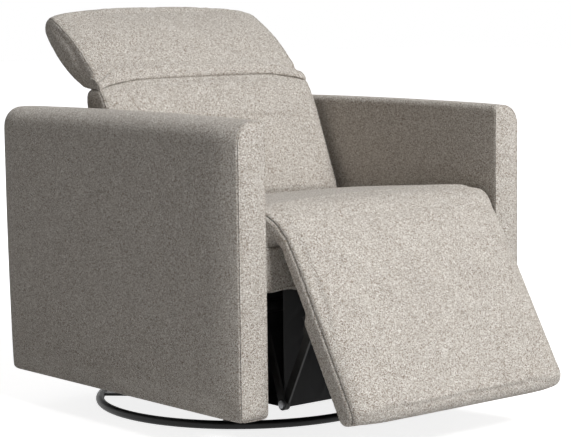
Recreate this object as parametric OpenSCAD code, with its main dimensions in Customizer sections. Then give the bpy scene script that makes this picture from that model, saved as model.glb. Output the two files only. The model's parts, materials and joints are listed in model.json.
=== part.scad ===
// Swivel glider recliner: a power recliner with track arms, on a round swivel base.
// Origin: the swivel axis at the floor. The sitter faces -Y, +X is on the sitter's left.
// It is drawn as photographed, with the leg rest and the back part way open.

/* [Overall] */
// Width over both arms
chair_w = 760; // [720:5:820]
// Front of the arms, ahead of the swivel axis
arm_front = 458; // [450:1:480]
// Back of the arms, behind the swivel axis
arm_rear = 350; // [345:1:380]
// Top of the arms above the floor
arm_top = 640; // [600:5:700]
// Underside of the arms above the floor
arm_bottom = 70; // [66:1:72]
// Thickness of one arm
arm_w = 70; // [64:1:76]

/* [Base] */
// Outer diameter of the floor ring
ring_d = 656; // [600:4:680]
// Diameter of the ring's rod
ring_rod = 18; // [16:1:20]
// Width of a base spoke
spoke_w = 36; // [28:1:44]
// Diameter of the hub plate
hub_d = 200; // [190:2:230]
// Thickness of the hub plate and of the swivel plate
plate_t = 6; // [5:0.5:7]
// Diameter of a bearing ball
ball_d = 8; // [7:0.5:9]
// Diameter of the king pin
king_d = 16; // [12:1:20]

/* [Glide] */
// Length of a glide link between its pivots
glide_link = 100; // [90:1:104]
// Height of the upper glide pivots
glide_pivot_z = 200; // [196:1:210]
// Distance between front and rear glide pivots
glide_span = 240; // [220:4:260]
// Diameter of a glide pivot bolt
glide_bolt_d = 10; // [8:1:12]

/* [Seat] */
// Underside of the wooden seat rails
rail_bottom = 322; // [316:1:326]
// Height of the wooden seat rails
rail_h = 50; // [44:1:54]
// Top of the seat cushion at its front edge
seat_front_top = 467; // [460:1:476]
// Top of the seat cushion at its rear edge
seat_rear_top = 437; // [430:1:444]
// Gap between the seat cushion and each arm
seat_side_gap = 7; // [6:1:20]
// How far the seat cushion swells in the middle
seat_crown = 17; // [8:1:20]

/* [Leg rest] */
// Leg rest hinge, ahead of the swivel axis
leg_hinge_y = 455; // [452:1:458]
// Leg rest hinge above the floor
leg_hinge_z = 425; // [422:1:430]
// Leg rest angle from hanging straight down, as photographed
leg_open = 29.6; // [20:0.2:40]
// Length of the leg rest below its hinge
leg_len = 396; // [380:2:400]
// Thickness of the leg rest from hinge line to front face
leg_front_t = 26; // [22:1:28]
// Gap between the leg rest and the line of each arm's inner face
leg_side_gap = 22; // [21:1:40]
// How far the leg rest's face swells in the middle
leg_crown = 18; // [8:1:20]
// Distance of the lift link's pivot below the hinge
lift_reach = 190; // [180:1:195]
// Torque tube behind the leg rest hinge
tube_back = 77; // [74:1:80]
// Torque tube below the leg rest hinge
tube_drop = 153; // [150:1:156]
// Diameter of the torque tube and of the recline shaft
shaft_d = 25; // [22:1:26]

/* [Back] */
// Recline shaft behind the swivel axis
back_y = 30; // [28:1:34]
// Recline shaft above the floor
back_z = 375; // [372:1:380]
// Lean of the back from upright, as photographed
back_lean = 21.5; // [12:0.5:30]
// Gap between the back cushion and each arm
back_side_gap = 23; // [22:1:40]
// Back cushion from the shaft's plane to its front face
back_front_t = 40; // [36:1:42]
// How far the back cushion swells in the middle
back_crown = 16; // [8:1:18]
// Head rest hinge above the recline shaft, along the back
head_s = 348; // [344:1:356]
// Tilt of the head rest behind the back's line, as photographed
head_tilt = 30; // [26:1:32]
// Length of the head rest above its hinge
head_len = 218; // [204:2:230]
// Gap between the head rest and the line of each arm's inner face
head_side_gap = 32; // [30:1:50]
// How far the head rest swells in the middle
head_crown = 16; // [8:1:18]

/* [Controls] */
// Diameter of a push button
button_d = 18; // [16:1:20]
// Distance between the two buttons
button_pitch = 30; // [26:1:34]
// Bore of the low-voltage power socket
socket_d = 5.6; // [5.2:0.1:6.4]

/* [Hidden] */
$fn = 48;

// Gaps and overruns
run_gap = 0.05;      // radial clearance of a running fit
seat_gap = 0.3;      // rest gap between pieces of one body
soft_gap = 0.5;      // clearance between cushions that move past each other
cut = 5;             // overrun of a cut past a face

// Widths that the arms leave for what stands between them
inner_x = chair_w / 2 - arm_w;
seat_half = inner_x - seat_side_gap;
leg_half = inner_x - leg_side_gap;
back_half = inner_x - back_side_gap;
head_half = inner_x - head_side_gap;

// Base, from the floor up
ring_flat = 1;
ring_r = (ring_d - ring_rod) / 2;
ring_axis_z = ring_rod / 2 - ring_flat;
spoke_t = 6;
spoke_z = 5;
spoke_start = 25;
weld_gap = 0.3;
hub_z = spoke_z + spoke_t;
hub_bolt_r = 42;
hub_bolt_d = 6;
hub_bolt_head = 12;
hub_head_t = 3;
king_head_d = 26;
king_head_t = 9;
king_nut_t = 9;

// Ball bearing between hub plate and swivel plate
race_inner_r = 60;
race_outer_r = 90;
race_t = 5;
groove = 2;
race_gap = ball_d - 2 * groove;
ball_count = 16;
ball_pitch_r = (race_inner_r + race_outer_r) / 2;
lower_race_z = hub_z + plate_t;
ball_z = lower_race_z + race_t - groove + ball_d / 2;
cage_t = 1.6;
cage_w = 20;
upper_race_z = lower_race_z + race_t + race_gap;
swivel_z = upper_race_z + race_t;

// Swivel frame: beams across, side rails along, posts up to the glide pivots
swivel_plate_over = 25;
tube_s = 25;
tube_wall = 2;
beam_y = 62;
side_rail_in = 98;
side_rail_x = inner_x - side_rail_in;
side_rail_over = 25;
side_rail_half = glide_span / 2 + side_rail_over;
beam_z = swivel_z + plate_t;
side_rail_z = beam_z + tube_s;
post_t = 6;
post_w = 40;
link_gap = 0.6;
post_gap = 3.2;
link_t = 5;
link_w = 30;
link_x = side_rail_x + post_t + post_gap;
rail_x = link_x + link_t + link_gap;
bush_wall = 1.5;
bush_d = glide_bolt_d + 2 * run_gap + 2 * bush_wall;
bolt_head_t = 4;
bolt_head_share = 1.8;
bolt_head_d = bolt_head_share * glide_bolt_d;
lower_pivot_z = glide_pivot_z - glide_link;

// Underframe between the arms
glide_rail_h = 30;
cross_rail_t = 25;
cross_rail_h = 50;
cross_rail_z = 80;
front_cross_y = -295;
rear_panel_t = 18;
rear_panel_in = 4;
rear_panel_drop = 125;
rear_panel_lift = 5;
rear_panel_y = arm_rear - rear_panel_in;
rear_panel_top = arm_top - rear_panel_drop;
rear_panel_z = arm_bottom + rear_panel_lift;
rear_cross_y = rear_panel_y - rear_panel_t - seat_gap;

// Seat box
rail_t = 19;
rail_top = rail_bottom + rail_h;
apron_t = 3.5;
apron_bottom = 304;
apron_wave = 4;
apron_waves = 3;
plate_x = inner_x - rail_t;
mech_t = 5;
front_rail_t = 24;
front_rail_in = 27;
rear_rail_in = 65;
side_rail_past = 30;
seat_rear_in = 33;
front_rail_y = -(leg_hinge_y - front_rail_in);
rear_rail_y = back_y - rear_rail_in;
side_rail_end = back_y + side_rail_past;
seat_rear_y = back_y - seat_rear_in;
deck_t = 4;
spring_d = 4;
spring_count = 5;
spring_in = 71;
spring_pitch = 2 * (plate_x - spring_in) / (spring_count - 1);
spring_w = 44;
spring_waves = 7;
spring_sides = 6;
spring_steps = 8;
spring_drop = 7;
bolt_d = 8;
arm_bolt_head_d = 16;
arm_bolt_head_t = 5;
arm_bolt_in = 38;

// Leg rest
leg_rear_t = 5;
leg_corner = 18;
leg_edge = 10;
leg_fall = 10;
strap_in = 88;
strap_x = leg_half - strap_in;
strap_t = 3;
strap_w = 24;
strap_top = 20;
strap_len = 210;
eye_r = 10;
ear_t = 5;
hinge_pin_d = 8;
board_top = 172;
board_t = 9.7;
board_in = 12;
lift_back = 36;
lobe_r = 12;
lift_w = 18;
drive_pin_head_d = 15;
lift_in = 48;
lift_x = inner_x - lift_in;
lift_t = 5;
lift_gap = 1;
lift_pin_d = 9;
bracket_h = 56;
bracket_foot = 24;
tube_wall_t = 2.5;
tube_lobe_r = 20;
plate_bore = shaft_d / 2 + run_gap;
strap_rear = leg_rear_t + seat_gap + strap_t;
board_rear = strap_rear + seat_gap + board_t;
tube_y = -(leg_hinge_y - tube_back);
tube_z = leg_hinge_z - tube_drop;

// Gear motors
gear_r = 30;
gear_w = 56;
motor_d = 42;
motor_len = 96;
cap_len = 12;
foot_t = 12;
recline_motor_x = -70;
leg_motor_x = 40;

// Back
back_rear_t = 35;
back_start = 42;
back_edge = 12;
back_corner = 12;
crease_r = 17.4;
knuckle_r = 17;
head_y = 2.6;
seam_depth = 1.6;
stile_w = 40;
stile_in = 49;
stile_x = back_half - stile_in;
frame_front = 37;
frame_t = 30;
frame_start = 45;
frame_end = 290;
web_t = 1.4;
web_w = 20;
web_count = 4;
bracket_t = 5;
bracket_drop = 9;
bracket_len = 100;
shell_t = 8;
shell_start = 30;
shell_end = frame_end + seat_gap + shell_t;

// Head rest
head_rear_t = 24;
head_edge = 14;
ratchet_in = 128;
ratchet_x = head_half - ratchet_in;
ratchet_t = 4;
ratchet_gap = 0.6;
ratchet_r = 12;
ratchet_pin_d = 8;
slot_w = 20;
slot_side = 5;
head_board_t = 10;
head_board_start = 30;
head_board_in = 25;
head_board_drop = 29;
head_back_t = 36;
head_front_t = 15;
head_arm_share = 0.25;

// Arms
arm_wall = 12;
arm_cap = 24;
arm_corner = 40;
arm_inner_corner = 12;
arm_foot_corner = 12;
arm_round = 12;
arm_inset = 7;
corner_share = 0.6;
arm_puff = 3;
arm_post = 40;
arm_panel = 14;

// Controls
panel_y = -250;
panel_z = 560;
panel_w = 34;
panel_h = 74;
bezel_t = 4;
bezel_rim = 6;
button_proud = 2.5;
button_t = 9;
button_stem_d = 6;
button_gap = 0.1;
inlet_in = 80;
inlet_x = inlet_in - inner_x;
inlet_z = 165;
inlet_d = 24;
inlet_flange_d = 32;
inlet_flange_t = 2;
inlet_len = 34;
socket_len = 12;
box_w = 120;
box_h = 50;
box_t = 40;
box_z = 200;

// Fabric, foam and metal colours
fabric = "#c9c0b5";
fabric_dark = "#a89f94";
steel = "#2a2b2e";
zinc = "#9a9da1";
timber = "#c8a878";
black_cloth = "#17181a";
plastic = "#222326";

// Frames of the moving groups at rest
module at_legrest() translate([0, -leg_hinge_y, leg_hinge_z]) rotate([-leg_open, 0, 0]) children();
module at_back() translate([0, back_y, back_z]) rotate([-back_lean, 0, 0]) children();
module at_head() at_back() translate([0, head_y, head_s]) rotate([-head_tilt, 0, 0]) children();

// Points of an arc about a centre, each with a crown weight
function arc(c, r, a0, a1, n, w = 0) =
    [for (i = [0:n]) let (a = a0 + (a1 - a0) * i / n) [c[0] + r * cos(a), c[1] + r * sin(a), w]];

// Points of an elliptic arc about a centre
function oval(c, r, a0, a1, n, w = 0) =
    [for (i = [0:n]) let (a = a0 + (a1 - a0) * i / n)
        [c[0] + r[0] * cos(a), c[1] + r[1] * sin(a), w]];

// Points between two ends, with the crown weight rising and falling between them
function face_line(p, q, n, w = 1) =
    [for (i = [1:n - 1]) let (k = i / n) [p[0] + (q[0] - p[0]) * k, p[1] + (q[1] - p[1]) * k,
        w * pow(sin(180 * k), crown_power)]];
crown_power = 0.5;

// One closed skin through a list of rings, closed at both ends by fans
module loft(rings) {
    n = len(rings[0]);
    m = len(rings);
    points = [for (ring = rings) each ring];
    first_mid = [for (k = [0:2]) sum_of([for (p = rings[0]) p[k]]) / n];
    last_mid = [for (k = [0:2]) sum_of([for (p = rings[m - 1]) p[k]]) / n];
    skin = [for (i = [0:m - 2], j = [0:n - 1]) let (a = i * n + j, b = i * n + (j + 1) % n)
        each [[a, a + n, b + n], [a, b + n, b]]];
    caps = [for (j = [0:n - 1]) let (k = (j + 1) % n, e = (m - 1) * n)
        each [[m * n, j, k], [m * n + 1, e + k, e + j]]];
    polyhedron(points = concat(points, [first_mid, last_mid]), faces = concat(skin, caps));
}
function sum_of(v, i = 0) = i >= len(v) ? 0 : v[i] + sum_of(v, i + 1);

// A cushion: an outline in Y and Z carried across X, with rounded and drawn-in ends and a crown
module cushion(outline, half, edge, crown, fall = crown_fall) {
    n = len(outline);
    ys = [for (p = outline) p[0]];
    zs = [for (p = outline) p[1]];
    mid = [(max(ys) + min(ys)) / 2, (max(zs) + min(zs)) / 2];
    size = [(max(ys) - min(ys)) / 2, (max(zs) - min(zs)) / 2];
    normals = [for (j = [0:n - 1]) let (t = outline[(j + 1) % n] - outline[(j + n - 1) % n],
        l = norm([t[0], t[1]])) [t[1] / l, -t[0] / l]];
    ends = [for (a = [90:-22.5:0]) [half - edge * (1 - sin(a)),
        edge * (1 - cos(a)) + (a == 45 ? seam_depth : 0)]];
    flat = half - edge;
    stations = concat([for (e = ends) [-e[0], e[1]]], [for (k = flat_shares) [flat * k, 0]],
        [for (i = [len(ends) - 1:-1:0]) ends[i]]);
    loft([for (s = stations) let (c = crown * (1 - pow(abs(s[0]) / half, fall)))
        [for (j = [0:n - 1]) let (p = outline[j])
            [s[0], mid[0] + (p[0] - mid[0]) * (1 - s[1] / size[0]) + normals[j][0] * c * p[2],
                mid[1] + (p[1] - mid[1]) * (1 - s[1] / size[1]) + normals[j][1] * c * p[2]]]]);
}
crown_fall = 2.4;
flat_shares = [-0.94, -0.8, -0.5, 0, 0.5, 0.8, 0.94];

// Mirrored pair, left and right
module pair() {
    children();
    mirror([1, 0, 0]) children();
}

// Box between two corners
module span(low, high) translate(low) cube(high - low);

// Plate of a given thickness standing across X, drawn in Y and Z
module side_plate(x, t) translate([x, 0, 0]) rotate([90, 0, 90]) linear_extrude(t) children();

// Round bar along X
module bar_x(x0, x1, d) translate([x0, 0, 0]) rotate([0, 90, 0]) cylinder(d = d, h = x1 - x0);

// Flat link between two points in the Y and Z plane, with round ends
module link_outline(p, q, rp, rq, w) {
    d = q - p;
    n = [-d[1], d[0]] / norm(d) * w / 2;
    polygon([p + n, q + n, q - n, p - n]);
    translate(p) circle(rp);
    translate(q) circle(rq);
}

module base_ring() color(steel) rotate_extrude($fn = 96) intersection() {
    translate([ring_r, ring_axis_z]) circle(d = ring_rod);
    translate([ring_r - ring_rod, 0]) square([2 * ring_rod, ring_rod]);
}

module base_spokes() color(steel) difference() {
    for (a = [45:90:315]) rotate(a) span([spoke_start, -spoke_w / 2, spoke_z],
        [ring_r, spoke_w / 2, hub_z]);
    rotate_extrude($fn = 96) translate([ring_r, ring_axis_z]) circle(d = ring_rod + 2 * weld_gap);
    for (a = [45:90:315]) rotate(a) translate([hub_bolt_r, 0, 0])
        cylinder(d = hub_bolt_d + 2 * run_gap, h = hub_z + cut);
}

module hub_plate() color(steel) difference() {
    translate([0, 0, hub_z]) cylinder(d = hub_d, h = plate_t, $fn = 96);
    translate([0, 0, hub_z - cut]) cylinder(d = king_d + 2 * run_gap, h = plate_t + 2 * cut);
    for (a = [45:90:315]) rotate(a) translate([hub_bolt_r, 0, hub_z - cut])
        cylinder(d = hub_bolt_d + 2 * run_gap, h = plate_t + 2 * cut);
}

module hub_fasteners() color(zinc) {
    for (a = [45:90:315]) rotate(a) translate([hub_bolt_r, 0, 0]) {
        translate([0, 0, spoke_z - hub_head_t]) cylinder(d = hub_bolt_head, h = hub_head_t);
        translate([0, 0, spoke_z - hub_head_t]) cylinder(d = hub_bolt_d,
            h = spoke_t + plate_t + 2 * hub_head_t);
        translate([0, 0, lower_race_z]) cylinder(d = hub_bolt_head, h = hub_head_t, $fn = 6);
    }
    difference() {
        translate([0, 0, hub_z - king_nut_t]) cylinder(d = king_head_d, h = king_nut_t, $fn = 6);
        translate([0, 0, hub_z - king_nut_t - cut]) cylinder(d = king_d + 2 * run_gap,
            h = king_nut_t + 2 * cut);
    }
}

module race(z, up) color(zinc) difference() {
    translate([0, 0, z]) cylinder(r = race_outer_r, h = race_t, $fn = 96);
    translate([0, 0, z - cut]) cylinder(r = race_inner_r, h = race_t + 2 * cut, $fn = 96);
    rotate_extrude($fn = 96) translate([ball_pitch_r, up ? z + race_t - groove + ball_d / 2
        : z + groove - ball_d / 2]) circle(d = ball_d + 4 * run_gap);
}
module lower_race() race(lower_race_z, true);
module upper_race() race(upper_race_z, false);

module king_pin() color(zinc) {
    translate([0, 0, hub_z - king_nut_t]) cylinder(d = king_d,
        h = swivel_z + plate_t + seat_gap + king_head_t - hub_z + king_nut_t);
    translate([0, 0, swivel_z + plate_t + seat_gap]) cylinder(d = king_head_d, h = king_head_t, $fn = 6);
}

module ball_cage() color("#b08d3e") difference() {
    translate([0, 0, ball_z - cage_t / 2]) cylinder(r = ball_pitch_r + cage_w / 2, h = cage_t, $fn = 96);
    translate([0, 0, ball_z - cut]) cylinder(r = ball_pitch_r - cage_w / 2, h = 2 * cut, $fn = 96);
    for (i = [0:ball_count - 1]) rotate(360 * i / ball_count) translate([ball_pitch_r, 0, ball_z - cut])
        cylinder(d = ball_d + 2 * run_gap, h = 2 * cut);
}

module bearing_balls() color("#c7ccd1") for (i = [0:ball_count - 1]) rotate(360 * i / ball_count)
    translate([ball_pitch_r, 0, ball_z]) sphere(d = ball_d);

module swivel_plate() color(steel) difference() {
    translate([0, 0, swivel_z]) cylinder(d = hub_d + swivel_plate_over, h = plate_t, $fn = 96);
    translate([0, 0, swivel_z - cut]) cylinder(d = king_d + 2 * run_gap, h = plate_t + 2 * cut);
}

// A square tube between two corners, open along X or along Y
module square_tube(low, high, along) difference() {
    span(low, high);
    span([for (k = [0:2]) k == along ? low[k] - cut : low[k] + tube_wall],
        [for (k = [0:2]) k == along ? high[k] + cut : high[k] - tube_wall]);
}

module swivel_beams() color(steel) for (s = [-1, 1]) translate([0, s * beam_y, beam_z])
    square_tube([-side_rail_x, -tube_s / 2, 0], [side_rail_x, tube_s / 2, tube_s], 0);

module swivel_side_rails() color(steel) pair() square_tube([side_rail_x - tube_s, -side_rail_half,
    side_rail_z], [side_rail_x, side_rail_half, side_rail_z + tube_s], 1);

module glide_posts() color(steel) pair() side_plate(side_rail_x, post_t) for (s = [-1, 1])
    difference() {
        union() {
            translate([s * glide_span / 2 - post_w / 2, side_rail_z])
                square([post_w, glide_pivot_z - side_rail_z]);
            translate([s * glide_span / 2, glide_pivot_z]) circle(d = post_w);
        }
        translate([s * glide_span / 2, glide_pivot_z]) circle(d = glide_bolt_d + 2 * run_gap);
    }

// Shoulder bolt along X, with its head outside or inside
module pivot_bolt(x0, x1, d) {
    bar_x(x0, x1, d);
    bar_x(x0 - bolt_head_t, x0, bolt_head_d);
    bar_x(x1, x1 + bolt_head_t, bolt_head_d);
}

module upper_pivot_bolts() color(zinc) pair() for (s = [-1, 1])
    translate([0, s * glide_span / 2, glide_pivot_z])
        pivot_bolt(side_rail_x - seat_gap, link_x + link_t + seat_gap, glide_bolt_d);

module glide_link_pair(y) color(steel) pair() side_plate(link_x, link_t) difference() {
    link_outline([y, glide_pivot_z], [y, lower_pivot_z], link_w / 2, link_w / 2, link_w);
    for (z = [glide_pivot_z, lower_pivot_z]) translate([y, z]) circle(d = bush_d + 2 * run_gap);
}
module glide_bushes(y) color("#d8d4c8") pair() side_plate(link_x, link_t)
    for (z = [glide_pivot_z, lower_pivot_z]) translate([y, z]) difference() {
        circle(d = bush_d);
        circle(d = glide_bolt_d + 2 * run_gap);
    }
module front_links() glide_link_pair(-glide_span / 2);
module rear_links() glide_link_pair(glide_span / 2);
module front_bushes() glide_bushes(-glide_span / 2);
module rear_bushes() glide_bushes(glide_span / 2);

module lower_pivot_bolts() color(zinc) pair() for (s = [-1, 1])
    translate([0, s * glide_span / 2, lower_pivot_z]) {
        bar_x(link_x - seat_gap, rail_x + tube_s, glide_bolt_d);
        bar_x(link_x - seat_gap - bolt_head_t / 2, link_x - seat_gap, bolt_head_d);
    }

module glide_rails() color(steel) difference() {
    pair() translate([0, 0, lower_pivot_z - glide_rail_h / 2]) square_tube([rail_x, front_cross_y +
        seat_gap, 0], [rail_x + tube_s, rear_cross_y - cross_rail_t - seat_gap, glide_rail_h], 1);
    for (s = [-1, 1]) translate([0, s * glide_span / 2, lower_pivot_z])
        bar_x(-inner_x, inner_x, glide_bolt_d + 2 * run_gap);
}

module bottom_cross_rails() color(timber) {
    span([-inner_x, front_cross_y - cross_rail_t, cross_rail_z],
        [inner_x, front_cross_y, cross_rail_z + cross_rail_h]);
    span([-inner_x, rear_cross_y - cross_rail_t, cross_rail_z],
        [inner_x, rear_cross_y, cross_rail_z + cross_rail_h]);
}

// Places of the arm bolts along the side rails and the cross rails
bolt_ys = [front_rail_y + 2 * arm_bolt_in, (front_rail_y + rear_rail_y) / 2, rear_rail_y - arm_bolt_in];

module seat_rails() color(timber) difference() {
    union() {
        pair() span([plate_x, front_rail_y, rail_bottom], [inner_x, side_rail_end, rail_top]);
        span([-plate_x + mech_t + seat_gap, front_rail_y, rail_bottom],
            [plate_x - mech_t - seat_gap, front_rail_y + front_rail_t, rail_top]);
        span([-plate_x + mech_t + seat_gap, rear_rail_y, rail_bottom],
            [plate_x - mech_t - seat_gap, rear_rail_y + front_rail_t, rail_top]);
    }
    for (y = bolt_ys) translate([0, y, rail_bottom + rail_h / 2])
        bar_x(-chair_w / 2, chair_w / 2, bolt_d + 2 * run_gap);
}

// Centre line of one zigzag spring, running front to rear with round bends
spring_front = front_rail_y + front_rail_t / 2;
spring_rear = rear_rail_y + front_rail_t / 2;
spring_z = rail_top + spring_d / 2 + seat_gap;
function spring_rise(t) = max(0, min(1, sin(180 * t) * spring_ease_share - spring_flat_share));
function spring_point(t, x) = [x + spring_w / 2 * sin(360 * spring_waves * t) * spring_rise(t),
    spring_front + (spring_rear - spring_front) * t, spring_z - spring_drop * spring_rise(t)];
spring_ease_share = 4;
spring_flat_share = 0.4;
spring_near_share = 0.25;
function spring_ring(t, x) = let (p = spring_point(t, x),
    e = spring_near_share / spring_waves / spring_steps,
    d = spring_point(t + e, x) - spring_point(t - e, x), f = d / norm(d), s = cross(f, [0, 0, 1]),
    u = s / norm(s), v = cross(u, f))
    [for (k = [0:spring_sides - 1]) let (a = 360 * k / spring_sides)
        p + (u * cos(a) + v * sin(a)) * spring_d / 2];
module seat_springs() color(zinc) for (i = [0:spring_count - 1]) {
    x = (i - (spring_count - 1) / 2) * spring_pitch;
    n = spring_waves * spring_steps;
    loft([for (k = [n:-1:0]) spring_ring(k / n, x)]);
}

module seat_deck() color("#8d8a84") span([-plate_x, front_rail_y + front_rail_t / 2, spring_z +
    spring_d / 2 + seat_gap], [plate_x, rear_rail_y + front_rail_t / 2, deck_top]);
deck_top = spring_z + spring_d / 2 + seat_gap + deck_t;

// Seat cushion: its nose is hollowed round the leg rest's knuckle
nose_a = 55;
nose_low_a = -30;
nose_step = 15;
nose_in = 22;
seat_corner = 12;
seat_rear_corner = 24;
function seat_outline() = let (h = [-leg_hinge_y, leg_hinge_z], r = leg_front_t + soft_gap,
    lip = h + r * [cos(nose_a), sin(nose_a)], low = h + r * [cos(nose_low_a), sin(nose_low_a)],
    bottom = deck_top + seat_gap, front = h[0] + r, slope = (seat_front_top - seat_rear_top) /
    (front - seat_rear_y), rear_top = [seat_rear_y - seat_rear_corner, seat_rear_top],
    front_top = [lip[0] + nose_in, seat_front_top])
    concat(arc([front + seat_corner, bottom + seat_corner], seat_corner, 180, 270, 3),
        arc([seat_rear_y - seat_corner, bottom + seat_corner], seat_corner, 270, 360, 3),
        arc([rear_top[0], rear_top[1] - seat_rear_corner], seat_rear_corner, 0, 90, 4),
        face_line(rear_top, front_top, 8),
        oval([front_top[0], lip[1]], [nose_in, seat_front_top - lip[1]], 90, 180, 5),
        arc(h, r, nose_a - nose_step, nose_low_a, 5));
module seat_cushion() color(fabric) cushion(seat_outline(), seat_half, seat_edge, seat_crown);
seat_edge = 20;

// Fabric panel hanging over the front rail, with a slightly wavy lower edge and slots for the ears
module seat_apron() color(fabric_dark) difference() {
    translate([0, front_rail_y - seat_gap, 0]) rotate([90, 0, 0]) linear_extrude(apron_t)
        polygon(concat([[apron_half, deck_top], [-apron_half, deck_top]],
            [for (i = [0:apron_steps]) let (k = i / apron_steps) [(2 * k - 1) * apron_half,
                apron_bottom + apron_wave * sin(360 * apron_waves * k)]]));
    pair() span([strap_x - ear_t / 2 - soft_gap, front_rail_y - ear_foot, apron_bottom + 3 * apron_wave],
        [strap_x + ear_t / 2 + soft_gap, front_rail_y, deck_top + cut]);
}
apron_half = inner_x - soft_gap;
apron_steps = 24;
ear_foot = 12;
ear_share = 0.75;

// Black cloth: a curtain from the front rail down, one behind the lift linkage, and sheets below
cloth_t = 1.5;
curtain_in = 60;
curtain_half = inner_x - curtain_in;
dust_front = front_rail_y + cloth_t;
dust_in = 70;
dust_inner = glide_span / 2 + dust_in;
back_curtain_y = front_cross_y - cross_rail_t - seat_gap;
module lining_cloths() color(black_cloth) {
    span([-curtain_half, front_rail_y, cross_rail_z - seat_gap - cloth_t],
        [curtain_half, dust_front, rail_bottom - seat_gap]);
    span([-curtain_half, dust_front + seat_gap, cross_rail_z - seat_gap - cloth_t],
        [curtain_half, -dust_inner, cross_rail_z - seat_gap]);
    span([-inner_x + seat_gap, dust_inner, cross_rail_z - seat_gap - cloth_t],
        [inner_x - seat_gap, rear_cross_y, cross_rail_z - seat_gap]);
    span([-inner_x + seat_gap, back_curtain_y - cloth_t, cross_rail_z],
        [inner_x - seat_gap, back_curtain_y, rail_bottom - seat_gap]);
}

// Outline of an arm's section in X and Z, drawn in by an inset
arm_mid_x = (chair_w - arm_w) / 2;
arm_mid_z = (arm_top + arm_bottom) / 2;
arm_half_h = (arm_top - arm_bottom) / 2;
small_r = 2;
function arm_corner_points(sx, sz, r, inset, a0) = let (q = max(min(r - inset, (arm_w - 2 * inset) *
    corner_share), small_r),
    c = [arm_mid_x + sx * (arm_w / 2 - inset - q), arm_mid_z + sz * (arm_half_h - inset - q)])
    [for (i = [0:4]) let (a = a0 - 90 * i / 4) [c[0] + q * cos(a), c[1] + q * sin(a)]];
function arm_ring(y, inset) = [for (p = concat(arm_corner_points(-1, 1, arm_inner_corner, inset, 180),
    arm_corner_points(1, 1, arm_corner, inset, 90), arm_corner_points(1, -1, arm_foot_corner, inset, 0),
    arm_corner_points(-1, -1, arm_foot_corner, inset, -90))) [p[0], y, p[1]]];

// Upholstered arm: a padded shell, open underneath, round a timber frame
module arm_shell() {
    front = -arm_front + arm_puff;
    puff_shares = [[0, 0.9], [0.4, 0.7]];
    difference() {
        loft(concat([for (p = puff_shares) arm_ring(-arm_front + arm_puff * p[0], arm_w / 2 * p[1])],
            [for (a = [90:-22.5:0]) arm_ring(front + arm_round * (1 - sin(a)),
                arm_inset * (1 - cos(a)) + (a == 45 ? seam_depth : 0))],
            [for (a = [0:22.5:90]) arm_ring(arm_rear - arm_round * (1 - sin(a)),
                arm_inset * (1 - cos(a)))]));
        span([inner_x + arm_wall, -arm_front + arm_wall, arm_bottom - cut],
            [chair_w / 2 - arm_wall, arm_rear - arm_wall, arm_top - arm_cap]);
        for (y = bolt_ys) translate([0, y, rail_bottom + rail_h / 2])
            bar_x(0, chair_w / 2 - arm_wall, bolt_d + 2 * run_gap);
    }
}
module left_arm_cover() color(fabric) arm_shell();
module right_arm_cover() color(fabric) difference() {
    mirror([1, 0, 0]) arm_shell();
    translate([-inner_x - arm_wall - cut, panel_y - panel_w / 2 - seat_gap, panel_z - panel_h / 2 -
        seat_gap]) cube([arm_wall + 2 * cut, panel_w + 2 * seat_gap, panel_h + 2 * seat_gap]);
}

// Timber inside an arm: a panel with posts and rails round its edge
module arm_frames() color(timber) pair() {
    x0 = inner_x + arm_wall + seat_gap;
    x1 = chair_w / 2 - arm_wall - seat_gap;
    y0 = -arm_front + arm_wall + seat_gap;
    y1 = arm_rear - arm_wall - seat_gap;
    z0 = arm_bottom + seat_gap;
    z1 = arm_top - arm_cap - seat_gap;
    difference() {
        span([x0, y0, z0], [x1, y1, z1]);
        for (s = [-1, 1]) {
            low_x = s < 0 ? x0 - cut : arm_mid_x + arm_panel / 2;
            high_x = s < 0 ? arm_mid_x - arm_panel / 2 : x1 + cut;
            span([low_x, y0 + arm_post, z0 + arm_post], [high_x, y1 - arm_post, rail_bottom]);
            span([low_x, y0 + arm_post, rail_top], [high_x, y1 - arm_post, z1 - arm_post]);
        }
        for (y = bolt_ys) translate([0, y, rail_bottom + rail_h / 2])
            bar_x(0, x0 + arm_bolt_in, bolt_d + 2 * run_gap);
    }
}

module arm_bolts() color(zinc) pair() for (y = bolt_ys) translate([0, y, rail_bottom + rail_h / 2]) {
    bar_x(plate_x - mech_t - seat_gap, inner_x + arm_wall + arm_bolt_in, bolt_d);
    bar_x(plate_x - mech_t - seat_gap - arm_bolt_head_t, plate_x - mech_t - seat_gap, arm_bolt_head_d);
}

// Rear panel between the arms, with a round edge at the top
module rear_panel() color(fabric) difference() {
    union() {
        side_plate(-inner_x + seat_gap, 2 * (inner_x - seat_gap)) {
            translate([rear_panel_y - rear_panel_t, rear_panel_z]) square([rear_panel_t,
                rear_panel_top - rear_panel_z - rear_panel_t / 2]);
            translate([rear_panel_y - rear_panel_t / 2, rear_panel_top - rear_panel_t / 2])
                circle(d = rear_panel_t);
        }
    }
    translate([inlet_x, rear_panel_y + cut, inlet_z]) rotate([90, 0, 0])
        cylinder(d = inlet_d + 2 * run_gap, h = rear_panel_t + 2 * cut);
}

// Steel plates inside the seat rails: they carry the torque tube and the recline shaft
plate_lobe_r = 24;
plate_band = 34;
module mechanism_plates() color(steel) pair() side_plate(plate_x - mech_t, mech_t) difference() {
    z = rail_bottom + rail_h / 2;
    union() {
        translate([front_rail_y + front_rail_t, z - plate_band / 2])
            square([back_y - front_rail_y - front_rail_t, plate_band]);
        link_outline([tube_y, tube_z], [tube_y, z], plate_lobe_r, plate_band / 2, plate_band);
        link_outline([back_y, z], [back_y, back_z], plate_band / 2, plate_lobe_r, plate_band);
    }
    translate([tube_y, tube_z]) circle(plate_bore);
    translate([back_y, back_z]) circle(plate_bore);
    for (y = bolt_ys) translate([y, z]) circle(d = bolt_d + 2 * run_gap);
}

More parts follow.
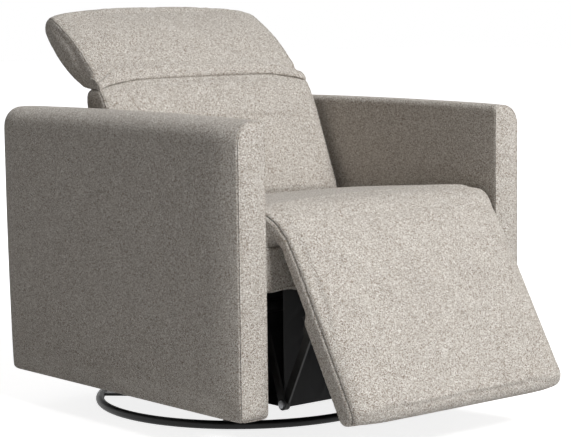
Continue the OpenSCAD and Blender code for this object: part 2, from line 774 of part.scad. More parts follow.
// Ears on the front rail that hold the leg rest's hinge pins
module legrest_ears() color(steel) pair() {
    h = [-leg_hinge_y, leg_hinge_z];
    foot = front_rail_y - seat_gap;
    side_plate(strap_x - ear_t / 2, ear_t) {
        link_outline(h, [foot - ear_foot / 2, rail_top], eye_r, ear_foot / 2, ear_foot);
        translate([foot - ear_foot, rail_top - rail_h * ear_share]) square([ear_foot, rail_h * ear_share]);
    }
    translate([0, h[0], h[1]]) bar_x(strap_x + ear_t / 2, strap_x + ear_t / 2 + soft_gap + strap_t +
        small_r, hinge_pin_d);
}

// Gear motor round a shaft along X, hanging from a foot on a rail
module gear_motor(y, z, x, foot_y, foot_z) color(plastic) {
    side = foot_y > y ? 1 : -1;
    difference() {
        union() {
            translate([0, y, z]) bar_x(x, x + gear_w, 2 * gear_r);
            span([x, min(y, foot_y), foot_z - foot_t], [x + gear_w, max(y, foot_y), foot_z]);
            translate([x + gear_w / 2, y, z - gear_r - motor_len]) cylinder(d = motor_d,
                h = motor_len + gear_r);
            translate([x + gear_w / 2, y, z - gear_r - motor_len - cap_len]) cylinder(
                d = motor_d - cap_len, h = cap_len);
        }
        translate([0, y, z]) bar_x(x - cut, x + gear_w + cut, shaft_d + 2 * run_gap);
    }
}
module recline_gearmotor() gear_motor(back_y, back_z, recline_motor_x,
    rear_rail_y + front_rail_t + seat_gap, rail_top);
module legrest_gearmotor() {
    gear_motor(tube_y, tube_z, leg_motor_x, front_rail_y + front_rail_t / 2, rail_bottom - seat_gap);
    color(plastic) span([leg_motor_x, tube_y - foot_t, tube_z + gear_r - foot_t], [leg_motor_x + gear_w,
        tube_y + foot_t, rail_bottom - seat_gap]);
}

module control_box() color(plastic) {
    y1 = rear_panel_y - rear_panel_t - seat_gap;
    span([-box_w / 2, y1 - box_t, box_z], [box_w / 2, y1, box_z + box_h]);
    span([-box_w / 2 - cap_len, y1 - strap_t, box_z + cap_len], [box_w / 2 + cap_len, y1,
        box_z + box_h - cap_len]);
}

module power_inlet() color(plastic) translate([inlet_x, rear_panel_y, inlet_z]) difference() {
    union() {
        translate([0, seat_gap + inlet_flange_t, 0]) rotate([90, 0, 0]) cylinder(d = inlet_flange_d,
            h = inlet_flange_t);
        translate([0, seat_gap, 0]) rotate([90, 0, 0]) cylinder(d = inlet_d, h = inlet_len);
    }
    translate([0, seat_gap + inlet_flange_t + cut, 0]) rotate([90, 0, 0]) cylinder(d = socket_d,
        h = socket_len + cut);
}

module button_panel() color(plastic) difference() {
    union() {
        span([-inner_x - arm_wall, panel_y - panel_w / 2, panel_z - panel_h / 2],
            [-inner_x, panel_y + panel_w / 2, panel_z + panel_h / 2]);
        span([-inner_x + small_r / 2, panel_y - panel_w / 2 - bezel_rim, panel_z - panel_h / 2 -
            bezel_rim], [-inner_x + bezel_t, panel_y + panel_w / 2 + bezel_rim,
            panel_z + panel_h / 2 + bezel_rim]);
        span([-inner_x - small_r, panel_y - panel_w / 2, panel_z - panel_h / 2],
            [-inner_x + bezel_t, panel_y + panel_w / 2, panel_z + panel_h / 2]);
    }
    for (s = [-1, 1]) translate([0, panel_y, panel_z + s * button_pitch / 2]) {
        bar_x(-inner_x + bezel_t + button_proud - button_t - button_proud, -inner_x + bezel_t + cut,
            button_d + 2 * button_gap);
        bar_x(-inner_x - arm_wall - cut, -inner_x + cut, button_stem_d + 2 * button_gap);
    }
}
module push_button(s) color("#3a3c40") translate([0, panel_y, panel_z + s * button_pitch / 2]) {
    bar_x(-inner_x + bezel_t + button_proud - button_t, -inner_x + bezel_t + button_proud, button_d);
    bar_x(-inner_x - arm_wall + button_proud, -inner_x, button_stem_d);
}
module recline_button() push_button(1);
module return_button() push_button(-1);

// Lift linkage of the leg rest
lift_far = [lift_back, -lift_reach];
function turn(p, a) = [p[0] * cos(a) - p[1] * sin(a), p[0] * sin(a) + p[1] * cos(a)];
lift_arm = turn(lift_far, -leg_open);
tube_at = [tube_y, tube_z];
low_pin = tube_at + lift_arm;
high_pin = [-leg_hinge_y, leg_hinge_z] + lift_arm;
coupler_x = lift_x - lift_gap - lift_t;

module torque_tube() color(steel) translate([0, tube_y, tube_z]) difference() {
    bar_x(-plate_x, plate_x, shaft_d);
    bar_x(-plate_x - cut, plate_x + cut, shaft_d - 2 * tube_wall_t);
}
module drive_links() color(steel) pair() side_plate(lift_x, lift_t) difference() {
    link_outline(tube_at, low_pin, tube_lobe_r, lobe_r, lift_w);
    translate(tube_at) circle(plate_bore);
    translate(low_pin) circle(d = lift_pin_d + 2 * run_gap);
}
module drive_pins() color(zinc) pair() translate([0, low_pin[0], low_pin[1]]) {
    bar_x(coupler_x - lift_gap, lift_x + lift_t + seat_gap, lift_pin_d);
    bar_x(lift_x + lift_t + seat_gap, lift_x + lift_t + seat_gap + strap_t, drive_pin_head_d);
}
module couplers() color(steel) pair() side_plate(coupler_x, lift_t) difference() {
    link_outline(low_pin, high_pin, lobe_r, lobe_r, lift_w);
    for (p = [low_pin, high_pin]) translate(p) circle(d = lift_pin_d + 2 * run_gap);
}

// Leg rest
function legrest_outline() = concat(
    arc([-leg_front_t + leg_corner, leg_corner - leg_len], leg_corner, 180, 270, 4),
    arc([leg_rear_t - leg_edge / 2, leg_edge / 2 - leg_len], leg_edge / 2, 270, 360, 2),
    face_line([leg_rear_t, -leg_len], [leg_rear_t, 0], 4, 0), [[leg_rear_t, 0, 0]],
    arc([0, 0], leg_front_t, 60, 180, 8),
    face_line([-leg_front_t, 0], [-leg_front_t, leg_corner - leg_len], 10));
module legrest_pad() color(fabric) at_legrest() difference() {
    cushion(legrest_outline(), leg_half, leg_edge, leg_crown, leg_fall);
    pair() span([strap_x - ear_t, -eye_r - 2 * small_r, -strap_top - 2 * leg_front_t],
        [strap_x + 2 * ear_t + small_r, leg_front_t + cut, leg_front_t + cut]);
}
module legrest_board() color(fabric_dark) at_legrest() span([-leg_half, strap_rear + seat_gap,
    board_in - leg_len], [leg_half, board_rear, -board_top]);
module legrest_straps() color(steel) at_legrest() pair() {
    x0 = strap_x + ear_t / 2 + soft_gap;
    span([x0, leg_rear_t + seat_gap, -strap_top - strap_len], [x0 + strap_w, strap_rear, -strap_top]);
    side_plate(x0, strap_t) difference() {
        union() {
            circle(eye_r);
            translate([0, -strap_top - eye_r]) square([strap_rear, strap_top + eye_r]);
        }
        circle(d = hinge_pin_d + 2 * run_gap);
    }
}
module legrest_brackets() color(steel) at_legrest() pair() {
    foot_y = board_rear + seat_gap;
    side_plate(lift_x, lift_t) {
        translate(lift_far) circle(lobe_r);
        translate([foot_y, -lift_reach - bracket_h / 2]) square([lift_back - foot_y, bracket_h]);
    }
    span([lift_x + lift_t - bracket_foot, foot_y, -lift_reach - bracket_h / 2],
        [lift_x + lift_t, foot_y + small_r, -lift_reach + bracket_h / 2]);
    translate([0, lift_far[0], lift_far[1]]) bar_x(coupler_x - lift_gap, lift_x, lift_pin_d);
}

// Back
module recline_shaft() color(steel) translate([0, back_y, back_z]) difference() {
    bar_x(-plate_x, plate_x, shaft_d);
    bar_x(-plate_x - cut, plate_x + cut, shaft_d - 2 * tube_wall_t);
}
module back_brackets() color(steel) at_back() pair() side_plate(stile_x - bracket_t, bracket_t)
    difference() {
        bend = frame_start - bracket_drop;
        union() {
            link_outline([0, 0], [frame_front + frame_t / 2, bend], tube_lobe_r, frame_t / 2, frame_t);
            translate([frame_front, bend]) square([frame_t, bracket_len]);
        }
        circle(plate_bore);
    }
module back_stiles() color(timber) at_back() pair() span([stile_x + seat_gap, frame_front,
    frame_start], [stile_x + stile_w, frame_front + frame_t, frame_end]);
module back_rails() color(timber) at_back() {
    reach = stile_x - bracket_t - seat_gap;
    for (z = [frame_start, frame_end - stile_w]) span([-reach, frame_front, z],
        [reach, frame_front + frame_t, z + stile_w]);
}
module back_webbing() color("#3b3733") at_back() {
    step = (frame_end - frame_start - 2 * stile_w - 2 * web_w) / (web_count - 1);
    for (i = [0:web_count - 1]) translate([0, 0, frame_start + stile_w + step * i + small_r])
        span([-stile_x - stile_w, frame_front - seat_gap - web_t, 0],
            [stile_x + stile_w, frame_front - seat_gap, web_w]);
}

// Back cushion: rolled top, hollowed round the head rest's knuckle, with a seam across the roll
rear_lip_a = 330;
front_lip_a = 197;
roll_front_s = 238;
roll_rear_s = 290;
seam_at = 140;
seam_side = 7;
rear_roll_a = 75;
roll_start_a = 108;
roll_end_a = 172;
roll_shares = [0.125, 0.33, 0.67];
function back_outline() = let (h = [head_y, head_s],
    rear_lip = h + crease_r * [cos(rear_lip_a), sin(rear_lip_a)],
    front_lip = h + crease_r * [cos(front_lip_a), sin(front_lip_a)],
    roll = [front_lip[0], roll_front_s], reach = [back_front_t + front_lip[0],
    front_lip[1] - roll_front_s])
    concat(arc([-back_front_t + back_corner, back_start + back_corner], back_corner, 180, 270, 3),
        arc([back_rear_t - back_corner, back_start + back_corner], back_corner, 270, 360, 3),
        oval([rear_lip[0], roll_rear_s], [back_rear_t - rear_lip[0], rear_lip[1] - roll_rear_s],
            0, rear_roll_a, 4),
        arc(h, crease_r, rear_lip_a, front_lip_a, 6),
        oval(roll, reach, roll_start_a, seam_at - seam_side, 2, roll_shares[0]),
        [[roll[0] + (reach[0] - seam_depth) * cos(seam_at), roll[1] + (reach[1] - seam_depth) *
            sin(seam_at), roll_shares[1]]],
        oval(roll, reach, seam_at + seam_side, roll_end_a, 2, roll_shares[2]),
        face_line([-back_front_t, roll_front_s], [-back_front_t, back_start + back_corner], 6));
module back_pad() color(fabric) at_back() difference() {
    cushion(back_outline(), back_half, back_edge, back_crown);
    pair() span([ratchet_x - ratchet_t - slot_side, head_y - ratchet_r - small_r, roll_front_s],
        [ratchet_x - slot_side + slot_w, back_rear_t + cut, head_s + cut]);
}

// Outside back: a padded tray over the frame
module back_shell() color(fabric) at_back() difference() {
    rear = frame_front + frame_t + seat_gap;
    span([-back_half, frame_front + small_r, shell_start], [back_half, rear + shell_t, shell_end]);
    span([-back_half + shell_t, frame_front - cut, shell_start - cut],
        [back_half - shell_t, rear, shell_end - shell_t]);
}

// Ratchet arms below the head rest hinge, with their pins
module headrest_lower_arms() color(steel) at_back() pair() {
    side_plate(ratchet_x - ratchet_t, ratchet_t) {
        link_outline([head_y, head_s], [frame_front - seat_gap - ratchet_r, frame_end], ratchet_r,
            ratchet_r, 2 * ratchet_r);
        translate([frame_front - seat_gap - 2 * ratchet_r, frame_end - stile_w])
            square([2 * ratchet_r, stile_w]);
    }
    translate([0, head_y, head_s]) bar_x(ratchet_x, ratchet_x + ratchet_gap + 2 * ratchet_t,
        ratchet_pin_d);
}
module headrest_arms() color(steel) at_head() pair()
    side_plate(ratchet_x + ratchet_gap, ratchet_t) difference() {
        union() {
            link_outline([0, 0], [head_rear_t - ratchet_r, head_board_start + ratchet_r], ratchet_r,
                ratchet_r, 2 * ratchet_r);
            translate([head_rear_t - 2 * ratchet_r, head_board_start + ratchet_r])
                square([2 * ratchet_r, head_len * head_arm_share]);
        }
        circle(d = ratchet_pin_d + 2 * run_gap);
    }
module headrest_board() color(timber) at_head() span([-head_half + head_board_in,
    head_rear_t + seat_gap, head_board_start], [head_half - head_board_in,
    head_rear_t + seat_gap + head_board_t, head_len - head_board_drop]);

// Head rest cushion: a knuckle at the crease, a bulging face and a round top
head_bulge = 9;
head_tip_r = 22;
head_tip_share = 0.25;
knuckle_end = 366;
function headrest_outline() = let (tip = [(head_back_t - head_front_t) / 2, head_len - head_tip_r],
    reach = [head_back_t - tip[0], head_tip_r])
    concat(arc([0, 0], knuckle_r, 180, knuckle_end, 8),
        [[head_back_t, head_board_start, 0], [head_back_t, head_len / 2, 0]],
        [for (a = [0:22.5:180]) [tip[0] + reach[0] * cos(a), tip[1] + reach[1] * sin(a),
            max(sin(a), (1 - cos(a)) * head_tip_share)]],
        [for (i = [1:8]) let (k = 1 - i / 9) [(head_front_t - knuckle_r) * (1 - k) - head_front_t -
            head_bulge * sin(180 * k), tip[1] * k, pow(sin(180 * k), crown_power)]]);
module headrest_pad() color(fabric) at_head() difference() {
    cushion(headrest_outline(), head_half, head_edge, head_crown);
    span([head_board_in - head_half - seat_gap, head_rear_t, head_board_start - seat_gap],
        [head_half - head_board_in + seat_gap, head_back_t + cut, head_len - head_board_drop + seat_gap]);
    pair() span([ratchet_x - ratchet_t - slot_side, -ratchet_r - small_r, -knuckle_r - cut],
        [ratchet_x - slot_side + slot_w, head_back_t + cut, head_board_start + head_len *
        head_arm_share + 2 * ratchet_r]);
}

base_ring();
base_spokes();
hub_plate();
hub_fasteners();
lower_race();
king_pin();
ball_cage();
bearing_balls();
upper_race();
swivel_plate();
swivel_beams();
swivel_side_rails();
glide_posts();
upper_pivot_bolts();
front_links();
front_bushes();
rear_links();
rear_bushes();
lower_pivot_bolts();
glide_rails();
bottom_cross_rails();
seat_rails();
seat_springs();
seat_deck();
seat_cushion();
seat_apron();
lining_cloths();
right_arm_cover();
left_arm_cover();
arm_frames();
arm_bolts();
rear_panel();
mechanism_plates();
legrest_ears();
legrest_gearmotor();
recline_gearmotor();
control_box();
power_inlet();
button_panel();
recline_button();
return_button();
torque_tube();
drive_links();
drive_pins();
couplers();
legrest_pad();
legrest_board();
legrest_straps();
legrest_brackets();
recline_shaft();
back_brackets();
back_stiles();
back_rails();
back_webbing();
back_pad();
back_shell();
headrest_lower_arms();
headrest_arms();
headrest_board();
headrest_pad();
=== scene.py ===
import json
from math import copysign, cos, exp, pi, radians, sin, sqrt
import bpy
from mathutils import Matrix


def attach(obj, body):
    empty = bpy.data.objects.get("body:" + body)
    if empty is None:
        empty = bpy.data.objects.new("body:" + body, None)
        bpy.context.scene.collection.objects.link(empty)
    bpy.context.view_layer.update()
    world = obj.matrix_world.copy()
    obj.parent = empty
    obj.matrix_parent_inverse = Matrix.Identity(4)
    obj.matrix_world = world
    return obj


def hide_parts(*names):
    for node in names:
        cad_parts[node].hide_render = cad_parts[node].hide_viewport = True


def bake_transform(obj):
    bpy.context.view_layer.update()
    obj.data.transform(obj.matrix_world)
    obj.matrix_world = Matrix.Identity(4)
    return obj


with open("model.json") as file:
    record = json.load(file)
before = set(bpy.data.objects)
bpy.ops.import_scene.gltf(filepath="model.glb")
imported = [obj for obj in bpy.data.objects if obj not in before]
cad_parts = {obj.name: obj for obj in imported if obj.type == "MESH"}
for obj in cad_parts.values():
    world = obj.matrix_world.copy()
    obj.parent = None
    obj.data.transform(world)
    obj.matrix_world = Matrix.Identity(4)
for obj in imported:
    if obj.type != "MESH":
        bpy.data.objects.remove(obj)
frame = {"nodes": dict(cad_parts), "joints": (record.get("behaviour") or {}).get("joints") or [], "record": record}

from types import SimpleNamespace
import bpy
import bmesh
import numpy as np
from mathutils import Matrix, Vector
from mathutils.bvhtree import BVHTree

# Swivel glider recliner: upholstery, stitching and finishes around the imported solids.
# Metres, floor at z = 0, the sitter faces -y.
nodes = frame["nodes"]
bodyOf = {n: b for b, names in frame["record"]["behaviour"]["bodies"].items() for n in names}
scene = bpy.context.scene
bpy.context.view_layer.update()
print("stage: frame loaded,", len(nodes), "solids")


def jointPoint(jointName):
    return Vector(next(j["pos_m"] for j in frame["joints"] if j["name"] == jointName))


# Puts (y, z) of a leaning part, drawn upright from its hinge, where the chair has it
def leaning(hinge, degrees):
    c, s = cos(radians(degrees)), sin(radians(degrees))
    return lambda y, z: (hinge[1] + y * c + z * s, hinge[2] - y * s + z * c)


lean = {"legrest": 29.6, "back": 21.5, "headTilt": 30.0}
legHinge, backHinge = (jointPoint(n) for n in ("legrest", "recline"))
onLeg = leaning(legHinge, lean["legrest"])
offLeg = leaning((0, 0, 0), -lean["legrest"])
onBack = leaning(backHinge, lean["back"])
headAt = (0.0026, 0.348)    # the head rest's hinge, drawn upright from the recline shaft
onHead = leaning((0, *headAt), lean["headTilt"])    # head rest into the upright back


# Mesh helpers

# Points of an arc, from one angle in degrees to another, or of an oval when radius is a pair
def bow(centre, radius, start, stop, steps):
    ry, rz = radius if isinstance(radius, tuple) else (radius, radius)
    angles = np.radians(np.linspace(start, stop, steps + 1))
    return [(centre[0] + ry * cos(a), centre[1] + rz * sin(a)) for a in angles]


# The same with each point's crown weight and width share
def arc(centre, radius, start, stop, steps, weight=0.0, wide=1.0):
    return [(y, z, weight, wide) for y, z in bow(centre, radius, start, stop, steps)]


# A quarter turn of radius 1, as pairs of how far on and how far in
def quarter(count):
    return [(1 - sin(a), 1 - cos(a)) for a in np.radians(np.linspace(90, 0, count))]


# Points between p and q, both left out, whose crown weight rises and falls
def straight(p, q, steps, peak=1.0, wide=1.0):
    return [(p[0] + (q[0] - p[0]) * k, p[1] + (q[1] - p[1]) * k,
             peak * sin(pi * k) ** 0.5, wide) for k in (i / steps for i in range(1, steps))]


def smoothFaces(mesh):
    mesh.polygons.foreach_set("use_smooth", [True] * len(mesh.polygons))
    mesh.update()


def addObject(name, mesh):
    obj = bpy.data.objects.new(name, mesh)
    scene.collection.objects.link(obj)
    return obj


# Fills a mesh with the source's faces, its doubles merged and all faces turned outwards
def mergedObject(name, mesh, source, dist):
    body = bmesh.new()
    body.from_mesh(source)
    bmesh.ops.remove_doubles(body, verts=body.verts, dist=dist)
    bmesh.ops.recalc_face_normals(body, faces=body.faces)
    body.to_mesh(mesh)
    body.free()
    smoothFaces(mesh)
    return addObject(name, mesh)


def meshObject(name, points, faces):
    mesh = bpy.data.meshes.new(name)
    mesh.from_pydata([tuple(p) for p in points], [], faces)
    return mergedObject(name, mesh, mesh, 1e-6)


# One closed skin through equal rings. An end is shut by one flat face, or by a ladder of narrow
# faces where the rings mirror about point number fold.
def loft(name, rings, fold=None):
    rings = [np.asarray(r, float) for r in rings]
    n, m = len(rings[0]), len(rings)
    faces = [(i * n + j, i * n + (j + 1) % n, (i + 1) * n + (j + 1) % n, (i + 1) * n + j)
             for i in range(m - 1) for j in range(n)]
    for first in (0, (m - 1) * n):
        if fold is None:
            faces.append(tuple(range(first, first + n)))
            continue
        rungs = [((fold - k) % n + first, (fold + k) % n + first) for k in range(n // 2 + 1)]
        for (a, b), (c, d) in zip(rungs, rungs[1:]):
            faces.append(tuple(dict.fromkeys((a, b, d, c))))
    return meshObject(name, np.vstack(rings), faces)


# A cushion from an outline in y and z, which may change with x. Gives the piece and the two rings
# on which its end panels are sewn in.
sweep = {"edgeRings": 9, "acrossRings": 27, "seamRing": 4, "fall": 2.4}


def sweptPad(name, outlineAt, place, part):
    half, edge = part["half"], part["edge"]
    ends = [(half - edge * on, edge * drawn) for on, drawn in quarter(sweep["edgeRings"])]
    inner = (half - edge) * np.sin(np.linspace(-pi / 2, pi / 2, sweep["acrossRings"])[1:-1])
    stations = sorted([(-x, d) for x, d in ends] + [(x, 0.0) for x in inner] + ends)
    rings = []
    for x, drawn in stations:
        line = np.array(outlineAt(abs(x)))
        flat = line[:, :2]
        middle, size = (flat.max(0) + flat.min(0)) / 2, (flat.max(0) - flat.min(0)) / 2
        tangent = np.roll(flat, -1, 0) - np.roll(flat, 1, 0)
        tangent /= np.linalg.norm(tangent, axis=1)[:, None]
        normal = np.column_stack([tangent[:, 1], -tangent[:, 0]])
        bulge = part["crown"] * (1 - abs(x / half) ** sweep["fall"])
        ring = middle + (flat - middle) * (1 - drawn / size) + normal * (bulge * line[:, 2])[:, None]
        rings.append([(x * w, *place(y, z)) for (y, z), w in zip(ring, line[:, 3])])
    return loft(name, rings), (rings[sweep["seamRing"]], rings[-sweep["seamRing"] - 1])


# Replaces an object's mesh by what its modifiers make of it
def applyAll(obj):
    evaluated = obj.evaluated_get(bpy.context.evaluated_depsgraph_get())
    made = bpy.data.meshes.new_from_object(evaluated)
    obj.modifiers.clear()
    old, obj.data = obj.data, made
    bpy.data.meshes.remove(old)
    smoothFaces(made)
    return obj


def remesh(obj, voxel):
    modifier = obj.modifiers.new("remesh", "REMESH")
    modifier.mode, modifier.voxel_size = "VOXEL", voxel
    return applyAll(obj)


def finer(obj):
    modifier = obj.modifiers.new("finer", "SUBSURF")
    modifier.levels = modifier.render_levels = 1
    return applyAll(obj)


# Cuts blocks, given as lists of eight corners, out of a closed mesh
def cutBlocks(obj, blocks):
    sides = [(0, 2, 3, 1), (4, 5, 7, 6), (0, 1, 5, 4), (2, 6, 7, 3), (0, 4, 6, 2), (1, 3, 7, 5)]
    cutters = [meshObject("cutter", corners, sides) for corners in blocks]
    for cutter in cutters:
        modifier = obj.modifiers.new("slot", "BOOLEAN")
        modifier.operation, modifier.object, modifier.solver = "DIFFERENCE", cutter, "EXACT"
    applyAll(obj)
    for cutter in cutters:
        bpy.data.objects.remove(cutter)


# The two mirrored slots through which a pair of steel arms enters a cushion
def slotPair(place, x0, x1, y0, y1, z0, z1):
    return [[(side * x, *place(y, z)) for x in (x0, x1) for y in (y0, y1) for z in (z0, z1)]
            for side in (-1, 1)]


def coords(mesh, kind="co"):
    flat = np.empty(len(mesh.vertices) * 3, np.float32)
    mesh.vertices.foreach_get(kind, flat)
    return flat.reshape(-1, 3).astype(float)


def setCoords(mesh, points):
    mesh.vertices.foreach_set("co", np.asarray(points, np.float32).ravel())
    mesh.update()


def smoothstep(t):
    t = np.clip(t, 0, 1)
    return t * t * (3 - 2 * t)


def ease(t):
    return float(smoothstep(t))


# What is left of 1 after a way along a run, never below 0
def left(way, run):
    return min(1.0, max(0.0, 1 - way / run))


# How far a corner of this radius has drawn in at a height above its foot
def rounding(height, radius):
    return radius * (1 - sqrt(1 - left(height, radius) ** 2))


# Swells a closed cushion with Cloth under air pressure: outwards only, no further than the cap,
# and less towards the seams that hold it
swelling = {"voxel": 0.0062, "fine": 0.005, "pressure": 4.0, "frames": 20, "held": 0.03}


def inflate(obj, cap, voxel, seams):
    remesh(obj, voxel)
    start, outward = coords(obj.data), coords(obj.data, "normal")
    air = obj.modifiers.new("cloth", "CLOTH")
    air.settings.use_pressure = True
    air.settings.uniform_pressure_force = swelling["pressure"]
    air.settings.effector_weights.gravity = 0.0
    air.point_cache.frame_start, air.point_cache.frame_end = 1, swelling["frames"]
    for step in range(1, swelling["frames"] + 1):
        scene.frame_set(step)
    applyAll(obj)
    scene.frame_set(1)
    moved = np.clip(((coords(obj.data) - start) * outward).sum(1), 0, cap)
    moved *= smoothstep(distance(start, seams, swelling["held"]) / swelling["held"])
    setCoords(obj.data, start + outward * moved[:, None])
    finer(obj)


# The same path in even steps
def evenly(path, step):
    line = np.asarray(path, float)
    run = np.concatenate([[0], np.cumsum(np.linalg.norm(np.diff(line, axis=0), axis=1))])
    at = np.linspace(0, run[-1], max(2, int(run[-1] / step)))
    return np.column_stack([np.interp(at, run, line[:, k]) for k in range(3)])


# How far each point is from the nearest path, up to reach, in chunks that fit the memory
measuring = {"step": 0.004, "chunk": 4000}


def distance(points, paths, reach):
    nearest = np.full(len(points), float(reach))
    for path in paths:
        line = evenly(path, measuring["step"])
        close = np.where(((points > line.min(0) - reach) & (points < line.max(0) + reach)).all(1))[0]
        for chunk in np.array_split(close, 1 + len(close) // measuring["chunk"]):
            gap = np.linalg.norm(points[chunk][:, None] - line[None], axis=2).min(1)
            nearest[chunk] = np.minimum(nearest[chunk], gap)
    return nearest


# Presses seams into a skin: points near a path move in by depth, over a width
def pressSeams(obj, paths, depth, width):
    points, normals = coords(obj.data), coords(obj.data, "normal")
    gap = distance(points, paths, 4 * width)
    setCoords(obj.data, points - normals * depth * np.exp(-(gap / width) ** 2)[:, None])


# Swells the two end panels sideways, from nothing at their seams
def pillowEnds(obj, paths, puff, reach):
    points, normals = coords(obj.data), coords(obj.data, "normal")
    sideways = smoothstep((np.abs(normals[:, 0]) - 0.5) / 0.4)
    share = smoothstep(distance(points, paths, reach) / reach) * sideways
    points[:, 0] += np.sign(normals[:, 0]) * puff * share
    setCoords(obj.data, points)


# Lays a path on a skin: each point goes to the nearest place on it, with a lift above
def onSkin(obj, path, lift=0.0, step=0.005):
    tree = BVHTree.FromObject(obj, bpy.context.evaluated_depsgraph_get())
    laid = []
    for point in evenly(path, step):
        place, normal, _, _ = tree.find_nearest(Vector(point))
        laid.append(place + normal * lift)
    return laid


# Materials

# Adds a node; a kind without its prefix is a shader node
def add(tree, kind, values=None, links=None, **settings):
    made = tree.nodes.new(kind if "Node" in kind else "ShaderNode" + kind)
    for key, value in settings.items():
        setattr(made, key, value)
    for key, value in (values or {}).items():
        made.inputs[key].default_value = value
    for key, source in (links or {}).items():
        tree.links.new(source, made.inputs[key])
    return made


# A Principled material with fixed numbers; the caller links its colour and its relief
def surface(name, color, roughness, **fixed):
    material = bpy.data.materials.new(name)
    material.use_nodes = True
    tree = material.node_tree
    shader = tree.nodes["Principled BSDF"]
    shader.inputs["Base Color"].default_value = (*color, 1)
    shader.inputs["Roughness"].default_value = roughness
    for key, value in fixed.items():
        shader.inputs[key.replace("_", " ")].default_value = value
    place = add(tree, "TexCoord").outputs["Object"]
    return material, tree, shader, place


def ramp(tree, source, *stops):
    made = add(tree, "ValToRGB", links={"Fac": source})
    while len(made.color_ramp.elements) < len(stops):
        made.color_ramp.elements.new(0.5)
    for element, (position, color) in zip(made.color_ramp.elements, stops):
        element.position, element.color = position, (*color, 1)
    return made.outputs["Color"]


white = (1.0, 1.0, 1.0)


# A ramp from one multiple of a colour to another
def shades(tree, source, color, low, high, start=0.3, stop=0.7):
    low, high = (tuple(c * k for c in color) for k in (low, high))
    return ramp(tree, source, (start, low), (stop, high))


def noise(tree, place, size, detail=2.0, roughness=0.5, out="Fac"):
    return add(tree, "TexNoise", {"Scale": 1 / size, "Detail": detail, "Roughness": roughness},
               {"Vector": place}).outputs[out]


def mixed(tree, first, second, how="MULTIPLY", share=1.0):
    return add(tree, "MixRGB", {"Fac": share}, {"Color1": first, "Color2": second},
               blend_type=how).outputs["Color"]


def maths(tree, how, first, second):
    made = add(tree, "Math", operation=how)
    for k, value in enumerate((first, second)):
        if isinstance(value, (int, float)):
            made.inputs[k].default_value = value
        else:
            tree.links.new(value, made.inputs[k])
    return made.outputs[0]


def relief(tree, shader, height, strength, distance):
    made = add(tree, "Bump", {"Strength": strength, "Distance": distance}, {"Height": height})
    tree.links.new(made.outputs["Normal"], shader.inputs["Normal"])


def colour(tree, shader, source):
    tree.links.new(source, shader.inputs["Base Color"])


# Stretches a place along its axes, for grain and ribs
def stretched(tree, place, x, y, z):
    return add(tree, "Mapping", {"Scale": (x, y, z)}, {"Vector": place}).outputs["Vector"]


# Heathered chenille: short tufts of several yarn colours, each tuft a little lump
tweed = {"tuft": 0.0014, "wobbleSize": 0.0042, "wobble": 0.0014, "fuzz": 0.0010, "fuzzLow": 0.80,
         "fuzzHigh": 1.15, "patch": 0.05, "patchLow": (0.95, 0.94, 0.925),
         "patchHigh": (1.03, 1.024, 1.008), "relief": 0.0012,
         "yarns": [(0.0, (0.16, 0.12, 0.09)), (0.12, (0.29, 0.24, 0.20)), (0.30, (0.43, 0.385, 0.34)),
                   (0.52, (0.56, 0.525, 0.48)), (0.78, (0.67, 0.645, 0.61)), (1.0, (0.84, 0.82, 0.79))]}


# shade scales the lint; below 1 it makes a darker copy of the cloth that carries painted shade
def tweedMaterial(name, shade):
    material, tree, shader, place = surface(name, (0.55, 0.51, 0.47), 0.95, Sheen_Weight=0.17,
                                            Sheen_Roughness=0.5, Specular_IOR_Level=0.12)
    wobble = noise(tree, place, tweed["wobbleSize"], out="Color")
    bent = mixed(tree, place, wobble, "ADD", tweed["wobble"])
    tufts = add(tree, "TexVoronoi", {"Scale": 1 / tweed["tuft"]}, {"Vector": bent})
    pick = add(tree, "SeparateColor", links={"Color": tufts.outputs["Color"]})
    yarn = ramp(tree, pick.outputs[0], *tweed["yarns"])
    fuzz = noise(tree, place, tweed["fuzz"], 3.0, 0.7)
    lint = shades(tree, fuzz, white, tweed["fuzzLow"] * shade, tweed["fuzzHigh"] * shade)
    patch = ramp(tree, noise(tree, place, tweed["patch"], 4.0), (0.3, tweed["patchLow"]),
                 (0.7, tweed["patchHigh"]))
    colour(tree, shader, mixed(tree, mixed(tree, yarn, lint), patch))
    relief(tree, shader, maths(tree, "SUBTRACT", fuzz, tufts.outputs["Distance"]), 0.5, tweed["relief"])
    return material


def powderCoat(name):
    material, tree, shader, place = surface(name, (0.008, 0.008, 0.009), 0.42, Specular_IOR_Level=0.35)
    peel = noise(tree, place, 0.0016, 3.0)
    colour(tree, shader, shades(tree, noise(tree, place, 0.02, 4.0), white, 0.006, 0.012, 0.35))
    relief(tree, shader, peel, 0.25, 0.0003)
    return material


def plated(name, color, roughness, size, spread):
    material, tree, shader, place = surface(name, color, roughness, Metallic=1.0)
    cloud = noise(tree, place, size, 5.0, 0.65)
    colour(tree, shader, shades(tree, cloud, color, 1 - spread, 1 + spread, 0.35, 0.65))
    rubbed = shades(tree, cloud, white, roughness * 0.8, roughness * 1.25)
    tree.links.new(rubbed, shader.inputs["Roughness"])
    relief(tree, shader, cloud, 0.12, 0.0002)
    return material


def moulded(name, color, roughness, grain):
    material, tree, shader, place = surface(name, color, roughness)
    skin = noise(tree, place, grain, 3.0, 0.6)
    colour(tree, shader, shades(tree, noise(tree, place, 0.03, 3.0), color, 0.9, 1.12))
    relief(tree, shader, skin, 0.3, 0.0002)
    return material


